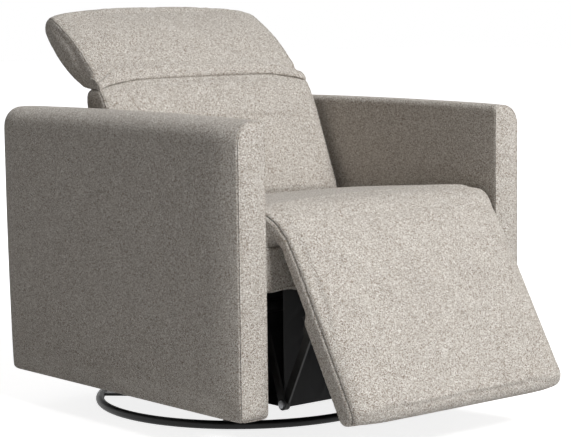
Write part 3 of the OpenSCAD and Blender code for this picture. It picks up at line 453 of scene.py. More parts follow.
def sawnTimber(name):
    material, tree, shader, place = surface(name, (0.5, 0.36, 0.22), 0.72)
    along = stretched(tree, place, 1.0, 0.12, 1.0)
    rings = add(tree, "TexWave", {"Scale": 32.0, "Distortion": 7.0, "Detail": 3.0,
                                  "Detail Scale": 1.4}, {"Vector": along}).outputs["Fac"]
    fibre = noise(tree, stretched(tree, place, 1.0, 0.05, 1.0), 0.0012, 4.0)
    wood = ramp(tree, rings, (0.2, (0.60, 0.44, 0.27)), (0.75, (0.50, 0.34, 0.19)),
                (1.0, (0.40, 0.26, 0.14)))
    colour(tree, shader, mixed(tree, wood, shades(tree, fibre, white, 0.82, 1.08)))
    relief(tree, shader, fibre, 0.3, 0.0004)
    return material


def wovenBand(name):
    material, tree, shader, place = surface(name, (0.06, 0.05, 0.045), 0.85)
    weave = maths(tree, "MULTIPLY", *(
        add(tree, "TexWave", {"Scale": count, "Distortion": 0.4}, {"Vector": place},
            bands_direction=axis).outputs["Fac"] for count, axis in ((150.0, "X"), (240.0, "Z"))))
    colour(tree, shader, ramp(tree, weave, (0.0, (0.035, 0.03, 0.027)), (1.0, (0.12, 0.105, 0.09))))
    relief(tree, shader, weave, 0.6, 0.0006)
    return material


# Non-woven lining: a grid of little welded dots in felted fibre, with pale streaks that are partly rub marks and
# partly painted highlights on creases
def nonWoven(name, color, dot):
    material, tree, shader, place = surface(name, color, 0.88)
    dots = add(tree, "TexVoronoi", {"Scale": 1 / dot, "Randomness": 0.15},
               {"Vector": place}).outputs["Distance"]
    fibre = noise(tree, place, 0.0012, 4.0, 0.7)
    # Pale streaks: partly rub marks, partly painted highlights where the creases catch the light
    rubbed = shades(tree, noise(tree, stretched(tree, place, 1.0, 1.0, 0.25), 0.05, 5.0, 0.7), color,
                    1.0, 2.2, 0.55, 0.8)
    colour(tree, shader, mixed(tree, rubbed, shades(tree, fibre, white, 0.75, 1.2)))
    relief(tree, shader, maths(tree, "ADD", dots, fibre), 0.4, 0.0004)
    return material


fabric = tweedMaterial("chenille_tweed", 1.0)
# A darker copy of the cloth for the chaise's seam cord: painted shadow of the seam groove
seamShadowFabric = tweedMaterial("chenille_seam", 0.42)
finishes = {"fabric": fabric, "black_steel": powderCoat("black_powder_coat"),
            "zinc_steel": plated("zinc_plate", (0.50, 0.51, 0.53), 0.36, 0.006, 0.14),
            "ball_steel": plated("polished_steel", (0.72, 0.73, 0.75), 0.1, 0.01, 0.04),
            "cage_brass": plated("stamped_brass", (0.60, 0.45, 0.20), 0.42, 0.005, 0.12),
            "nylon": moulded("natural_nylon", (0.78, 0.76, 0.69), 0.45, 0.0015),
            "timber": sawnTimber("sawn_softwood"), "webbing": wovenBand("elastic_webbing"),
            "felt": nonWoven("needled_felt", (0.30, 0.29, 0.27), 0.006),
            "black_cloth": nonWoven("black_lining", (0.007, 0.007, 0.0075), 0.0022),
            "black_plastic": moulded("textured_black_plastic", (0.022, 0.022, 0.024), 0.5, 0.0009),
            "button_plastic": moulded("satin_button_plastic", (0.05, 0.05, 0.055), 0.38, 0.0012)}
for name, solid in nodes.items():
    for slot in solid.material_slots:
        slot.material = finishes[slot.material.name.split(".")[0]]


def dress(obj, material):
    obj.data.materials.clear()
    obj.data.materials.append(material)


print("stage: finishes mixed,", len(finishes))


# The chaise: one cover from the seat over its front edge and down the leg rest

board = np.array([offLeg(y - legHinge[1], z - legHinge[2])
                  for _, y, z in coords(nodes["legrest_board"].data)])
chaise = {"seatHalf": 0.302, "legHalf": 0.287, "edge": 0.010, "foot": 0.005, "seatCrown": 0.013,
          "legCrown": 0.014, "deck": 0.3811, "rearTop": 0.436, "frontTop": 0.465, "rearY": -0.0045,
          "rearRound": 0.024, "deckRound": 0.012, "seatRun": 0.39, "riseBy": 0.45, "cornerIn": 0.014,
          "rearFace": 0.005, "frontFace": 0.024, "legTop": 0.018, "legRun": 0.355, "bulge": 0.004,
          "wrap": 0.006, "wrapFrom": 0.002, "tipRound": (0.018, 0.022), "tipRear": (0.008, 0.013),
          "tipIn": 0.007, "cap": 0.0045, "falls": (2.4, 4.9, 5.0, 0.7, 8.0, 11.0),
          "bend": [(-0.4290, 0.4637, -0.4270, 0.386, 0.3015), (-0.4390, 0.4598, -0.4290, 0.396, 0.3000),
                   (-0.4485, 0.4542, -0.4320, 0.405, 0.2972), (-0.4575, 0.4470, -0.4360, 0.411, 0.2940),
                   (-0.4650, 0.4390, -0.4405, 0.4145, 0.2910), (-0.4715, 0.4295, -0.4460, 0.414, 0.2885)],
          "boardTop": board[:, 1].max(), "boardRear": board[:, 0].max(),
          "across": {"foot": 4, "side": 6, "edge": 7, "under": 25, "over": 41}, "rings": (7, 26, 48),
          "slot": (0.192, 0.216, -0.012, 0.05, -0.075, 0.004)}


# Each station: top y and z, bottom y and z, half width, crown, how late the crown falls off
def chaiseStations():
    c = SimpleNamespace(**chaise)
    rearFall, frontFall, bendFall, bendStep, legFall, tipFall = c.falls
    rearRings, seatRings, legRings = c.rings
    stations = []
    for s, f in quarter(rearRings)[::-1]:
        stations.append((c.rearY - c.rearRound * f, c.rearTop - c.rearRound * s,
                         c.rearY - c.deckRound * f, c.deck + c.deckRound * s,
                         c.seatHalf - c.cornerIn * s, 0.0, rearFall))
    for k in np.linspace(0.04, 1, seatRings):
        y = c.rearY - c.rearRound - k * c.seatRun
        z = c.rearTop + k * (c.frontTop - c.rearTop)
        rise = c.seatCrown * sin(pi / 2 * min(1, k / c.riseBy)) ** 0.6
        low = y + c.deckRound * (1 - k) - c.bulge * k
        stations.append((y, z, low, c.deck, c.seatHalf, rise, rearFall + (frontFall - rearFall) * k))
    for i, (ty, tz, by, bz, half) in enumerate(c.bend):
        stations.append((ty, tz, by, bz, half, c.seatCrown, bendFall + i * bendStep))
    for k in np.linspace(0, 1, legRings):
        z = -c.legTop - k * c.legRun
        front = -c.frontFace + c.bulge * (1 - min(1, k / 0.25)) ** 2
        low = z - c.deckRound * (1 - k) - c.tipRear[0] * k
        jog = ease((c.boardTop + c.wrapFrom - low) / c.wrap)
        stations.append((*onLeg(front, z), *onLeg(c.rearFace + jog * (c.boardRear - c.rearFace), low),
                         c.legHalf, c.legCrown, legFall + (tipFall - legFall) * k))
    tip = c.legTop + c.legRun
    for a in np.radians([15, 30, 45, 60, 75, 90]):
        s, f = sin(a), 1 - cos(a)
        stations.append((*onLeg(-c.frontFace + c.tipRound[0] * f, -tip - c.tipRound[1] * s),
                         *onLeg(c.boardRear - c.tipRear[0] * f, -tip - c.tipRear[0] - c.tipRear[1] * s),
                         c.legHalf - c.tipIn * f, c.legCrown * (1 - 0.4 * f), tipFall))
    return stations


# The ring at each station runs under, up one side, over the crown and down the other side
def chaiseRings():
    rings, stations, count = [], chaiseStations(), chaise["across"]
    along = np.gradient(np.array([(s[0], s[1]) for s in stations]), axis=0)
    along /= np.linalg.norm(along, axis=1)[:, None]
    for (ty, tz, by, bz, half, crown, fall), way in zip(stations, along):
        top, low = np.array([ty, tz]), np.array([by, bz])
        out = np.array([way[1], -way[0]])
        out = -out if np.dot(out, top - low) < 0 else out
        thick = np.linalg.norm(top - low)
        edge, foot = min(chaise["edge"], 0.45 * thick), min(chaise["foot"], 0.3 * thick)
        side = bow((half - foot, foot), foot, -90, 0, count["foot"] - 1)
        side += [(half, h) for h in np.linspace(foot, thick - edge, count["side"])[1:-1]]
        side += bow((half - edge, thick - edge), edge, 0, 90, count["edge"] - 1)
        ring = [(x, 0.0) for x in np.linspace(-1, 1, count["under"])[1:-1] * (half - foot)] + side
        ring += [(x, thick) for x in np.cos(np.linspace(0, pi, count["over"]))[1:-1] * (half - edge)]
        ring += [(-x, h) for x, h in side[::-1]]
        lift = [max(0.0, h / thick) ** 3 * crown * (1 - min(1, abs(x) / half) ** fall) for x, h in ring]
        unit = (top - low) / thick
        rings.append([(x, *(low + unit * h + out * up)) for (x, h), up in zip(ring, lift)])
    return rings


# The two seams run along the middle of the upper edges
chaisePoints = chaiseRings()
across = chaise["across"]
nearSeam = across["under"] - 2 + across["foot"] + across["side"] - 2 + across["edge"] // 2
farSeam = nearSeam + across["edge"] // 2 + across["over"] - 1 + across["edge"] // 2
chaiseSeams = [[ring[k] for ring in chaisePoints] for k in (nearSeam, farSeam)]
chaiseCover = loft("chaise_cover", chaisePoints)
cutBlocks(chaiseCover, slotPair(onLeg, *chaise["slot"]))


# Back cushion, and the head rest with the band below it, drawn upright from the recline shaft

back = {"half": 0.289, "front": 0.039, "rear": 0.034, "start": 0.043, "edge": 0.008, "corner": 0.012,
        "crown": 0.012, "rollStart": 0.238, "rollRear": 0.290, "roll": (0.019, 0.040), "cap": 0.0045,
        "puff": 0.002, "seamEnd": 0.314, "seamRise": 0.025, "under": 0.004, "meet": (0.0035, 0.012),
        "lip": [(0.0025, -0.001), (0.007, 0.0005)], "slot": (0.141, 0.172, -0.012, 0.06, 0.236, 0.36),
        "ledge": [(-0.014, 0.319, 0.75), (-0.004, 0.324, 0.35), (0.008, 0.3275, 0.1)]}
frontLine = np.array([(-0.0335, 0.3045), (-0.0318, 0.3150), (-0.0298, 0.3220), (-0.0275, 0.3295),
                      (-0.0248, 0.3385), (-0.0215, 0.3475), (-0.0175, 0.3560), (-0.0130, 0.3640)])


def onFront(z):
    return (float(np.interp(z, frontLine[:, 1], frontLine[:, 0])), z)


# The seam between back and head rest bows up towards the middle of the chair
def seamAt(x):
    return onFront(back["seamEnd"] + back["seamRise"] * (1 - min(1, x / back["half"]) ** 5))


# How far a cushion's outline has drawn in at x, where its end rounds over
def drawnIn(x, part):
    return rounding(part.half - x, part.edge)


# How much further two touching cushions reach into each other's rounding near their ends
def meeting(x, part):
    most, reach = back["meet"]
    return most * ease(1 - (part.half - x) / reach)


# The hidden ledge behind the seam: a lip that follows the seam, and a shelf that follows its rise
# less and less towards the rear
def ledge(x, lift):
    sy, sz = seamAt(x)
    lip = [(sy + y, sz + z + lift) for y, z in back["lip"]]
    return lip + [(y, z + share * (sz - back["seamEnd"]) + lift) for y, z, share in back["ledge"]]


def backOutline(x):
    b = SimpleNamespace(**back)
    r, (sy, sz) = b.corner, seamAt(x)
    share = np.linspace(1, 0, 12)[1:]
    face = [(-b.front + (sy + b.front) * k ** 2,
             b.rollStart + (sz - b.under - b.rollStart) * k) for k in share]
    rising = 0.8 - 0.5 * share
    under = ledge(x, drawnIn(x, b) + meeting(x, b))[::-1]
    return (arc((-b.front + r, b.start + r), r, 180, 270, 5)
            + arc((b.rear - r, b.start + r), r, 270, 360, 5)
            + straight((b.rear, b.start + r), (b.rear, b.rollRear), 18, 0.0)
            + arc((b.rear - b.roll[0], b.rollRear), b.roll, 0, 84, 8)
            + [(y, z, w, 1) for (y, z), w in zip(under, (0, 0, 0, 0.1, 0.2))]
            + [(y, z, w, 1) for (y, z), w in zip(face, rising)]
            + straight((-b.front, b.rollStart), (-b.front, b.start + r), 26))


backCover, backEnds = sweptPad("back_cover", backOutline, onBack, back)

head = {"half": 0.289, "narrow": 0.281 / 0.289, "rear": 0.035, "front": 0.014, "length": 0.217,
        "tip": 0.024, "edge": 0.006, "crown": 0.012, "bulge": 0.009, "slant": 0.002, "belly": 0.010,
        "bellyFrom": 0.03, "arch": 0.011, "droop": (1.1, 0.35, 0.86), "cap": 0.0035, "puff": 0.0015,
        "clear": 0.0015, "lip": 0.0035, "fade": 0.055, "foot": (0.0165, 0.3345),
        "heel": [(-0.014, 0.001), (-0.004, 0.010), (0.0, 0.030)], "face": (0.3640, 0.3560, 0.3475),
        "band": 0.3440, "creaseFoot": 0.3290, "underWidths": (0.997, 0.99, 0.985, 0.98, 0.975),
        "crease": [(-0.0115, 0.3610), (-0.0060, 0.3545), (-0.0070, 0.3490), (-0.0160, 0.3435),
                   (-0.0240, 0.3365)],
        "tuck": [(0.288, 0.341), (0.262, 0.352), (0.236, 0.364)], "tuckDepth": 0.0045, "tuckWidth": 0.0035}


# The front runs on from the band to the face in the middle, and folds into a crease at both ends
def headOutline(x):
    h, (sy, sz) = SimpleNamespace(**head), seamAt(x)
    fold = ease((x - h.half + h.fade) / h.fade)
    t = min(1, x / h.half)
    early, late, start = h.droop
    arch = h.arch * (1 - early * t ** 4 - late * ease((t - start) / (1 - start)) ** 1.5)
    tip = ((h.rear - h.front) / 2, h.length - h.tip + arch)
    n, low = h.narrow, h.bellyFrom
    upper = [(h.rear + y, z, 0, n) for y, z in h.heel]
    upper += [(h.rear + h.belly * sin(pi * k) ** 0.8, low + (tip[1] - low) * k, 0, n)
              for k in np.linspace(0, 1, 19)[1:-1]]
    turn = arc(tip, (h.rear - tip[0], h.tip), 0, 180, 16)
    upper += [(y, z, max(sin(a), (1 - cos(a)) * 0.25), n)
              for (y, z, _, _), a in zip(turn, np.linspace(0, pi, 17))]
    for k in (1 - i / 27 for i in range(1, 25)):
        swell = h.bulge * sin(pi * k)
        upper.append((-h.front - h.slant * (1 - k) - swell, tip[1] * k, max(0.35, sin(pi * k) ** 0.5), n))
    points = [(*onHead(y, z), w, wide) for y, z, w, wide in upper]
    plain = [onFront(z) for z in (*h.face, *np.linspace(h.band, sz + h.lip, 5))]
    creased = h.crease + [onFront(z) for z in np.linspace(h.creaseFoot, sz + h.lip, 3)]
    widths = [n, n, (1 + n) / 2, 1, 1, 1, 1, 1]
    points += [(p[0] + (q[0] - p[0]) * fold, p[1] + (q[1] - p[1]) * fold, 0.33, w)
               for p, q, w in zip(plain, creased, widths)]
    under = ledge(x, h.clear - drawnIn(x, h) - meeting(x, h))
    points += [(y, z, 0.2, w) for (y, z), w in zip(under, h.underWidths)]
    return points + [(*h.foot, 0, n)]


headCover, headEnds = sweptPad("headrest_cover", headOutline, onBack, head)
cutBlocks(backCover, slotPair(onBack, *back["slot"]))
# The seam across the chair, and the middle of the ledge behind it
backSeam = [[(x, *onBack(*spot(abs(x)))) for x in np.linspace(-back["half"], back["half"], 60)]
            for spot in (seamAt, lambda x: ledge(x, 0.0)[3])]
print("stage: chaise, back and head rest drawn")


# Arms: a section in x and z carried along y, pillowed towards the seam round the front face

arm = {"outer": 0.380, "inner": 0.310, "front": -0.458, "rear": 0.350, "top": 0.640, "bottom": 0.067,
       "capCorner": 0.044, "innerCorner": 0.013, "footCorner": 0.009, "round": 0.006, "inset": 0.0035,
       "pillow": 0.011, "pillowFront": 0.09, "pillowRear": 0.07, "pillowFoot": 0.05, "pillowFrom": 0.325,
       "pillowOver": 0.055, "face": 0.004, "groove": 0.0018, "step": 0.011, "taper": 0.004,
       "topRise": 0.0045, "riseFrom": 0.56, "riseOver": 0.08, "middle": -0.05, "halfRun": 0.44,
       "rearFrom": 0.22, "rearOver": 0.12, "frontFrom": -0.36, "frontOver": 0.09, "rearFoot": 0.015,
       "frontFoot": 0.013, "rearLean": (0.0035, 0.010), "leanTop": 0.515, "leanRun": 0.407,
       "dome": ((0, 0.028), (0.25, 0.022), (0.5, 0.015), (0.75, 0.008), (0.92, 0.003)),
       "corner": 9, "between": (2, 48, 2, 48)}


def armSection(inset):
    a = SimpleNamespace(**arm)
    middle = ((a.outer + a.inner) / 2, (a.top + a.bottom) / 2)
    halfW, halfH = (a.outer - a.inner) / 2 - inset, (a.top - a.bottom) / 2 - inset
    corners = []
    for sx, sz, r, start in ((-1, 1, a.innerCorner, 180), (1, 1, a.capCorner, 90),
                             (1, -1, a.footCorner, 0), (-1, -1, a.footCorner, -90)):
        q = max(min(r - inset, 1.2 * halfW), 0.002)
        centre = (middle[0] + sx * (halfW - q), middle[1] + sz * (halfH - q))
        corners.append(bow(centre, q, start, start - 90, a.corner - 1))
    section = []
    for k, (points, count) in enumerate(zip(corners, a.between)):
        p, q = np.array(points[-1]), np.array(corners[(k + 1) % 4][0])
        section += points + [tuple(p + (q - p) * i / count) for i in range(1, count)]
    return section


# Swells the outer side and the top between the seams, and leans and rounds both ends
def armShape(side, x, y, z):
    a = SimpleNamespace(**arm)
    ahead, behind = left(y - a.front, a.pillowFront), left(a.rear - y, a.pillowRear)
    swell = (1 - ahead ** 2.3) * (1 - behind ** 3)
    foot = ease((z - a.bottom) / a.pillowFoot)
    outward = ease((x - a.pillowFrom) / a.pillowOver)
    x += (a.pillow * swell * foot - a.taper * ahead ** 2) * outward
    upward = ease((z - a.riseFrom) / a.riseOver)
    z += a.topRise * swell * upward * (1 - ((y - a.middle) / a.halfRun) ** 2)
    low = min(1.0, max(0.0, (a.leanTop - z) / a.leanRun))
    rear, front = ease((y - a.rearFrom) / a.rearOver), ease((a.frontFrom - y) / a.frontOver)
    out, under = a.rearLean
    y += (out - under * low ** 2) * rear - rounding(z - a.bottom, a.rearFoot) * rear
    y += rounding(z - a.bottom, a.frontFoot) * front
    return (side * x, y, z)


def armCover(side, name):
    a = SimpleNamespace(**arm)
    face = a.front + a.face
    turn = quarter(a.corner)
    stations = [(a.front + a.face * p ** 2, a.inset + drawn) for p, drawn in a.dome]
    seamStation = len(stations) + a.corner // 2
    for k, (on, drawn) in enumerate(turn):
        groove = a.groove if k == a.corner // 2 else 0
        stations.append((face + a.round * on, a.inset * drawn + groove))
    stations += [(y, 0.0) for y in np.arange(face + a.round + 0.004, a.rear - a.round - 0.003, a.step)]
    stations += [(a.rear - a.round * on, a.inset * drawn) for on, drawn in turn[::-1]]
    rings = [[armShape(side, x, y, z) for x, z in armSection(inset)] for y, inset in stations]
    return loft(name, rings, fold=9), rings[seamStation]


armCovers = [armCover(-1, "right_arm_upholstery"), armCover(1, "left_arm_upholstery")]
print("stage: arms drawn")


# Panels: a skin that follows the solid, with its hard edges rubbed down

panels = {"rear_panel": ("rear_panel_upholstery", 0.005, 4), "back_shell": ("outside_back", 0.0034, 3)}


def softPanel(node):
    name, voxel, rub = panels[node]
    panel = remesh(mergedObject(name, bpy.data.meshes.new(name), nodes[node].data, 1e-5), voxel)
    smooth = panel.modifiers.new("rub", "SMOOTH")
    smooth.factor, smooth.iterations = 0.5, rub
    applyAll(panel)
    dress(panel, fabric)
    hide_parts(node)
    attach(panel, bodyOf[node])
    return panel


for node in panels:
    softPanel(node)


# Flat cloths: the flap over the front rail and the black linings

# A thin closed cloth over a grid: spot(u, v) gives its middle, out its facing, u and v run from 0 to 1
def clothPiece(name, spot, out, thick, nu, nv):
    out = np.array(out) * thick / 2
    front = [np.array(spot(i / nu, j / nv)) for j in range(nv + 1) for i in range(nu + 1)]
    points = [p + out for p in front] + [p - out for p in front]
    n, w = len(front), nu + 1
    quads = [(j * w + i, j * w + i + 1, (j + 1) * w + i + 1, (j + 1) * w + i)
             for j in range(nv) for i in range(nu)]
    faces = quads + [tuple(n + k for k in q[::-1]) for q in quads]
    rim = ([(i, i + 1) for i in range(nu)] + [(i * w + nu, (i + 1) * w + nu) for i in range(nv)]
           + [(nv * w + i + 1, nv * w + i) for i in range(nu)] + [((i + 1) * w, i * w) for i in range(nv)])
    faces += [(b, a, n + a, n + b) for a, b in rim]
    return meshObject(name, points, faces)


# Straight faint creases of a cloth that was folded in its packet, from a fixed seed
cloth = {"thick": 0.0008, "creaseHigh": 0.0022, "creaseWide": 0.0045, "creaseSizes": (0.4, 1.0),
         "creaseLongs": (0.04, 0.16), "sag": 0.003, "heldWithin": 1 / 14}


def creases(seed, count, flat):
    dice = np.random.default_rng(seed)
    lines = [(dice.uniform(0, flat[0]), dice.uniform(0, flat[1]), dice.uniform(0, pi),
              dice.uniform(*cloth["creaseSizes"]) * dice.choice([-1, 1]),
              dice.uniform(*cloth["creaseLongs"])) for _ in range(count)]

    def height(u, v):
        total = 0.0
        for cu, cv, turn, size, reach in lines:
            along = (u - cu) * cos(turn) + (v - cv) * sin(turn)
            aside = (v - cv) * cos(turn) - (u - cu) * sin(turn)
            total += size * exp(-(aside / cloth["creaseWide"]) ** 2 / 2 - (along / reach) ** 2)
        return total
    return height


# Each wave of the hem: the radians it turns over the width, its height, and where it starts
apron = {"half": 0.3093, "y": -0.4303, "top": 0.394, "bottom": 0.306, "thick": 0.0026, "fold": 0.0011,
         "hem": [(6 * pi, 0.003, 0.0), (61, 0.0012, 1.3)]}


def apronSpot(u, v):
    a = SimpleNamespace(**apron)
    x = a.half * (2 * u - 1)
    bottom = a.bottom + sum(size * sin(turns * u + start) for turns, size, start in a.hem)
    fold = sin(47 * u + 0.6 * sin(11 * u)) * sin(pi * min(1, 1.3 * v))
    fold += 0.6 * sin(113 * u + 1.0 + 2 * v)
    return x, a.y - a.fold * fold * min(1, 0.1 + v), a.top + (bottom - a.top) * v


apronPiece = clothPiece("front_apron", apronSpot, (0, -1, 0), apron["thick"], 150, 16)
dress(apronPiece, fabric)
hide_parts("seat_apron")
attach(apronPiece, "carriage")

linings = {"front_curtain": {"low": (-0.25, -0.42725, 0.0782), "high": (0.25, -0.42725, 0.3217),
                             "held": "hung", "on": "seat_rails", "seed": 3, "creases": 26},
           "rear_curtain": {"low": (-0.3097, -0.32105, 0.080), "high": (0.3097, -0.32105, 0.3217),
                            "held": "hung", "on": "bottom_cross_rails", "seed": 8, "creases": 22},
           "front_dust_cloth": {"low": (-0.25, -0.4262, 0.07895), "high": (0.25, -0.190, 0.07895),
                                "held": "stretched", "on": "bottom_cross_rails", "seed": 5, "creases": 14},
           "rear_dust_cloth": {"low": (-0.3097, 0.190, 0.07895), "high": (0.3097, 0.3277, 0.07895),
                               "held": "stretched", "on": "bottom_cross_rails", "seed": 6, "creases": 12}}


def lining(name):
    c = SimpleNamespace(**linings[name])
    low, high = np.array(c.low), np.array(c.high)
    upright = low[1] == high[1]
    run = high - low
    flat = (run[0], run[1] + run[2])
    height = creases(c.seed, c.creases, flat)

    def spot(u, v):
        free = min(1, min(u, 1 - u, v, 1 - v) / cloth["heldWithin"])
        lump = cloth["creaseHigh"] * height(u * flat[0], v * flat[1]) * free
        if upright:
            return low[0] + flat[0] * u, low[1] - lump, high[2] - flat[1] * v
        sag = cloth["sag"] * sin(pi * u) * sin(pi * v)
        return low[0] + flat[0] * u, low[1] + flat[1] * v, low[2] + lump - sag
    out = (0, -1, 0) if upright else (0, 0, -1)
    sheet = clothPiece(name, spot, out, cloth["thick"], 170, 84)
    dress(sheet, finishes["black_cloth"])
    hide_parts("lining_cloths")
    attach(sheet, "carriage")


for name in linings:
    lining(name)

# The slack cloth between the seat's rear face and the back's foot
crevice = {"half": 0.284, "flat": (0.568, 0.036), "thick": 0.0016, "pleat": 0.0008,
           "line": [(-0.0040, 0.4095), (0.0000, 0.4090), (0.0045, 0.4088), (0.0100, 0.4088),
                    (0.0150, 0.4105), (0.0190, 0.4135), (0.0218, 0.4180), (0.0236, 0.4235)]}


def creviceSpot(u, v):
    c = SimpleNamespace(**crevice)
    line = np.array(c.line)
    at = v * (len(line) - 1)
    y, z = (float(np.interp(at, range(len(line)), line[:, k])) for k in (0, 1))
    pleat = c.pleat * sin(70 * u + 2 * sin(9 * u)) * sin(pi * v)
    return c.half * (2 * u - 1), y, z + pleat


creviceCloth = clothPiece("crevice_cloth", creviceSpot, (0, 0, 1), crevice["thick"], 140, 14)
dress(creviceCloth, fabric)
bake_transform(creviceCloth)
print("stage: panels and cloths drawn")


# The chaise, back and head rest are swollen, and all covers seamed and dressed; the back and the arms are hung on
# their bodies

seam = {"depth": 0.0024, "width": 0.0036, "armDepth": 0.0012, "reach": 0.035, "beside": 0.0042,
        "lift": 0.0009}


def finishSoft(obj, cap, seams, held=(), puff=0.0, voxel=swelling["voxel"]):
    inflate(obj, cap, voxel, [*seams, *held])
    if puff:
        pillowEnds(obj, seams, puff, seam["reach"])
    pressSeams(obj, seams, seam["depth"], seam["width"])
    dress(obj, fabric)
    return [onSkin(obj, path, seam["lift"]) for path in seams]


fold = {"start": (0, -0.428, 0.452), "end": (0, -0.468, 0.418)}
nape = {"start": (0, *onBack(-0.022, 0.330)), "end": (0, *onBack(0.006, 0.360))}
seamsOn = {"chaise": finishSoft(chaiseCover, chaise["cap"], chaiseSeams)}
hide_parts("seat_cushion", "legrest_pad", "legrest_board")
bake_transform(chaiseCover)

seamsOn["back"] = finishSoft(backCover, back["cap"], backEnds, backSeam, back["puff"])
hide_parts("back_pad")
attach(backCover, "backrest")

seamsOn["head"] = finishSoft(headCover, head["cap"], headEnds, backSeam, head["puff"], swelling["fine"])
# A short tuck runs up and inwards from each end of the head rest
tucks = [[(side * x, *onBack(*onFront(z))) for x, z in head["tuck"]] for side in (-1, 1)]
pressSeams(headCover, [onSkin(headCover, path) for path in tucks], head["tuckDepth"], head["tuckWidth"])
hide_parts("headrest_pad", "headrest_board")
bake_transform(headCover)
print("stage: cushions swollen")

seamsOn["arms"] = []
for (cover, path), node in zip(armCovers, ("right_arm_cover", "left_arm_cover")):
    pressSeams(cover, [path], seam["armDepth"], seam["width"])
    finer(cover)
    dress(cover, fabric)
    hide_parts(node)
    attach(cover, "carriage")
    seamsOn["arms"].append(onSkin(cover, [*path, path[0]], seam["lift"]))
print("stage: arms dressed")


# What repeats along a path: stitches, seam cords and staples, as node trees with named inputs

# A tree whose start turns the path's edges into a curve with points at an even step
def newTree(name, step, *sockets):
    tree = bpy.data.node_groups.new(name, "GeometryNodeTree")
    tree.interface.new_socket("Geometry", in_out="INPUT", socket_type="NodeSocketGeometry")
    tree.interface.new_socket("Geometry", in_out="OUTPUT", socket_type="NodeSocketGeometry")
    for label, value in (("Step", step), *sockets, ("Cover", None)):
        kind = {float: "Float", int: "Int", type(None): "Material"}[type(value)]
        socket = tree.interface.new_socket(label, in_out="INPUT", socket_type="NodeSocket" + kind)
        if value is not None:
            socket.default_value = value
    given = add(tree, "NodeGroupInput").outputs
    line = add(tree, "GeometryNodeMeshToCurve", links={"Mesh": given["Geometry"]})
    even = add(tree, "GeometryNodeResampleCurve", links={"Curve": line.outputs["Curve"],
                                                         "Length": given["Step"]}, mode="LENGTH")
    return tree, given, even.outputs["Curve"]


# The tree's end: one real mesh in the cover's material
def endTree(tree, given, mesh):
    real = add(tree, "GeometryNodeRealizeInstances", links={"Geometry": mesh})
    worn = add(tree, "GeometryNodeSetMaterial", links={"Geometry": real.outputs["Geometry"],
                                                       "Material": given["Cover"]})
    add(tree, "NodeGroupOutput", links={"Geometry": worn.outputs["Geometry"]})
    return tree


# Long beads laid end to end, each turned along the path and sized a little differently
def stitchTree():
    tree, given, points = newTree("stitches", 0.004, ("Length", 0.003), ("Thickness", 0.0006),
                                  ("Unevenness", 0.15), ("Seed", 7))
    way = add(tree, "GeometryNodeInputTangent")
    turn = add(tree, "FunctionNodeAlignRotationToVector", links={"Vector": way.outputs["Tangent"]},
               axis="X")
    bead = add(tree, "GeometryNodeMeshUVSphere", {"Segments": 8, "Rings": 6, "Radius": 0.5})
    shape = add(tree, "CombineXYZ", links={"X": given["Length"], "Y": given["Thickness"],
                                           "Z": given["Thickness"]})
    dice = add(tree, "FunctionNodeRandomValue", links={"Seed": given["Seed"]}, data_type="FLOAT")
    grown = maths(tree, "ADD", maths(tree, "MULTIPLY", dice.outputs[1], given["Unevenness"]), 1.0)
    scaled = add(tree, "VectorMath", links={0: shape.outputs[0], "Scale": grown}, operation="SCALE")
    placed = add(tree, "GeometryNodeInstanceOnPoints",
                 links={"Points": points, "Instance": bead.outputs["Mesh"],
                        "Rotation": turn.outputs["Rotation"], "Scale": scaled.outputs["Vector"]})
    return endTree(tree, given, placed.outputs["Instances"])


# A round cord with closed ends
def cordTree():
    tree, given, points = newTree("seam_cord", 0.006, ("Radius", 0.0012))
    ring = add(tree, "GeometryNodeCurvePrimitiveCircle", {"Resolution": 8}, {"Radius": given["Radius"]},
               mode="RADIUS")
    tube = add(tree, "GeometryNodeCurveToMesh", {"Fill Caps": True},
               {"Curve": points, "Profile Curve": ring.outputs["Curve"]})
    smooth = add(tree, "GeometryNodeSetShadeSmooth", links={"Geometry": tube.outputs["Mesh"]})
    return endTree(tree, given, smooth.outputs["Geometry"])


# One plain mesh of what a tree makes along all the paths
def alongPaths(name, paths, tree, material, slotName, **inputs):
    points, edges = [], []
    for path in paths:
        edges += [(len(points) + k, len(points) + k + 1) for k in range(len(path) - 1)]
        points += [tuple(p) for p in path]
    mesh = bpy.data.meshes.new(name)
    mesh.from_pydata(points, edges, [])
    piece = addObject(name, mesh)
    modifier = piece.modifiers.new(tree.name, "NODES")
    modifier.node_group = tree
    sockets = {s.name: s.identifier for s in tree.interface.items_tree if s.in_out == "INPUT"}
    for label, value in {**inputs, "Cover": material}.items():
        modifier[sockets[label]] = value
    applyAll(piece)
    dress(piece, material)
    return piece


stitches, cords = stitchTree(), cordTree()
thread = moulded("grey_thread", (0.30, 0.27, 0.235), 0.7, 0.0006)
sewing = {"Step": 0.0042, "Length": 0.0031, "Thickness": 0.00055}
# The chaise's seam cord wears the darker cloth, a painted shadow in its groove
sewn = {"chaise": {"covers": [chaiseCover], "cloth": seamShadowFabric, "cord": 0.0009,
                   "bends": ("carriage", "legrest", fold)},
        "head": {"covers": [headCover], "cloth": fabric, "cord": 0.0011,
                 "bends": ("backrest", "headrest", nape)},
        "back": {"covers": [backCover], "cloth": fabric, "cord": 0.0011, "rides": "backrest"},
        "arms": {"covers": [cover for cover, _ in armCovers], "cloth": fabric, "cord": 0.0011,
                 "rides": "carriage"}}


# The same seam a few millimetres to the panel's side of it, where the thread shows
def beside(cover, path):
    middle = np.mean(np.asarray(path), axis=0)
    points = [(p[0] - copysign(seam["beside"], middle[0]), p[1], p[2]) for p in path]
    return onSkin(cover, points)


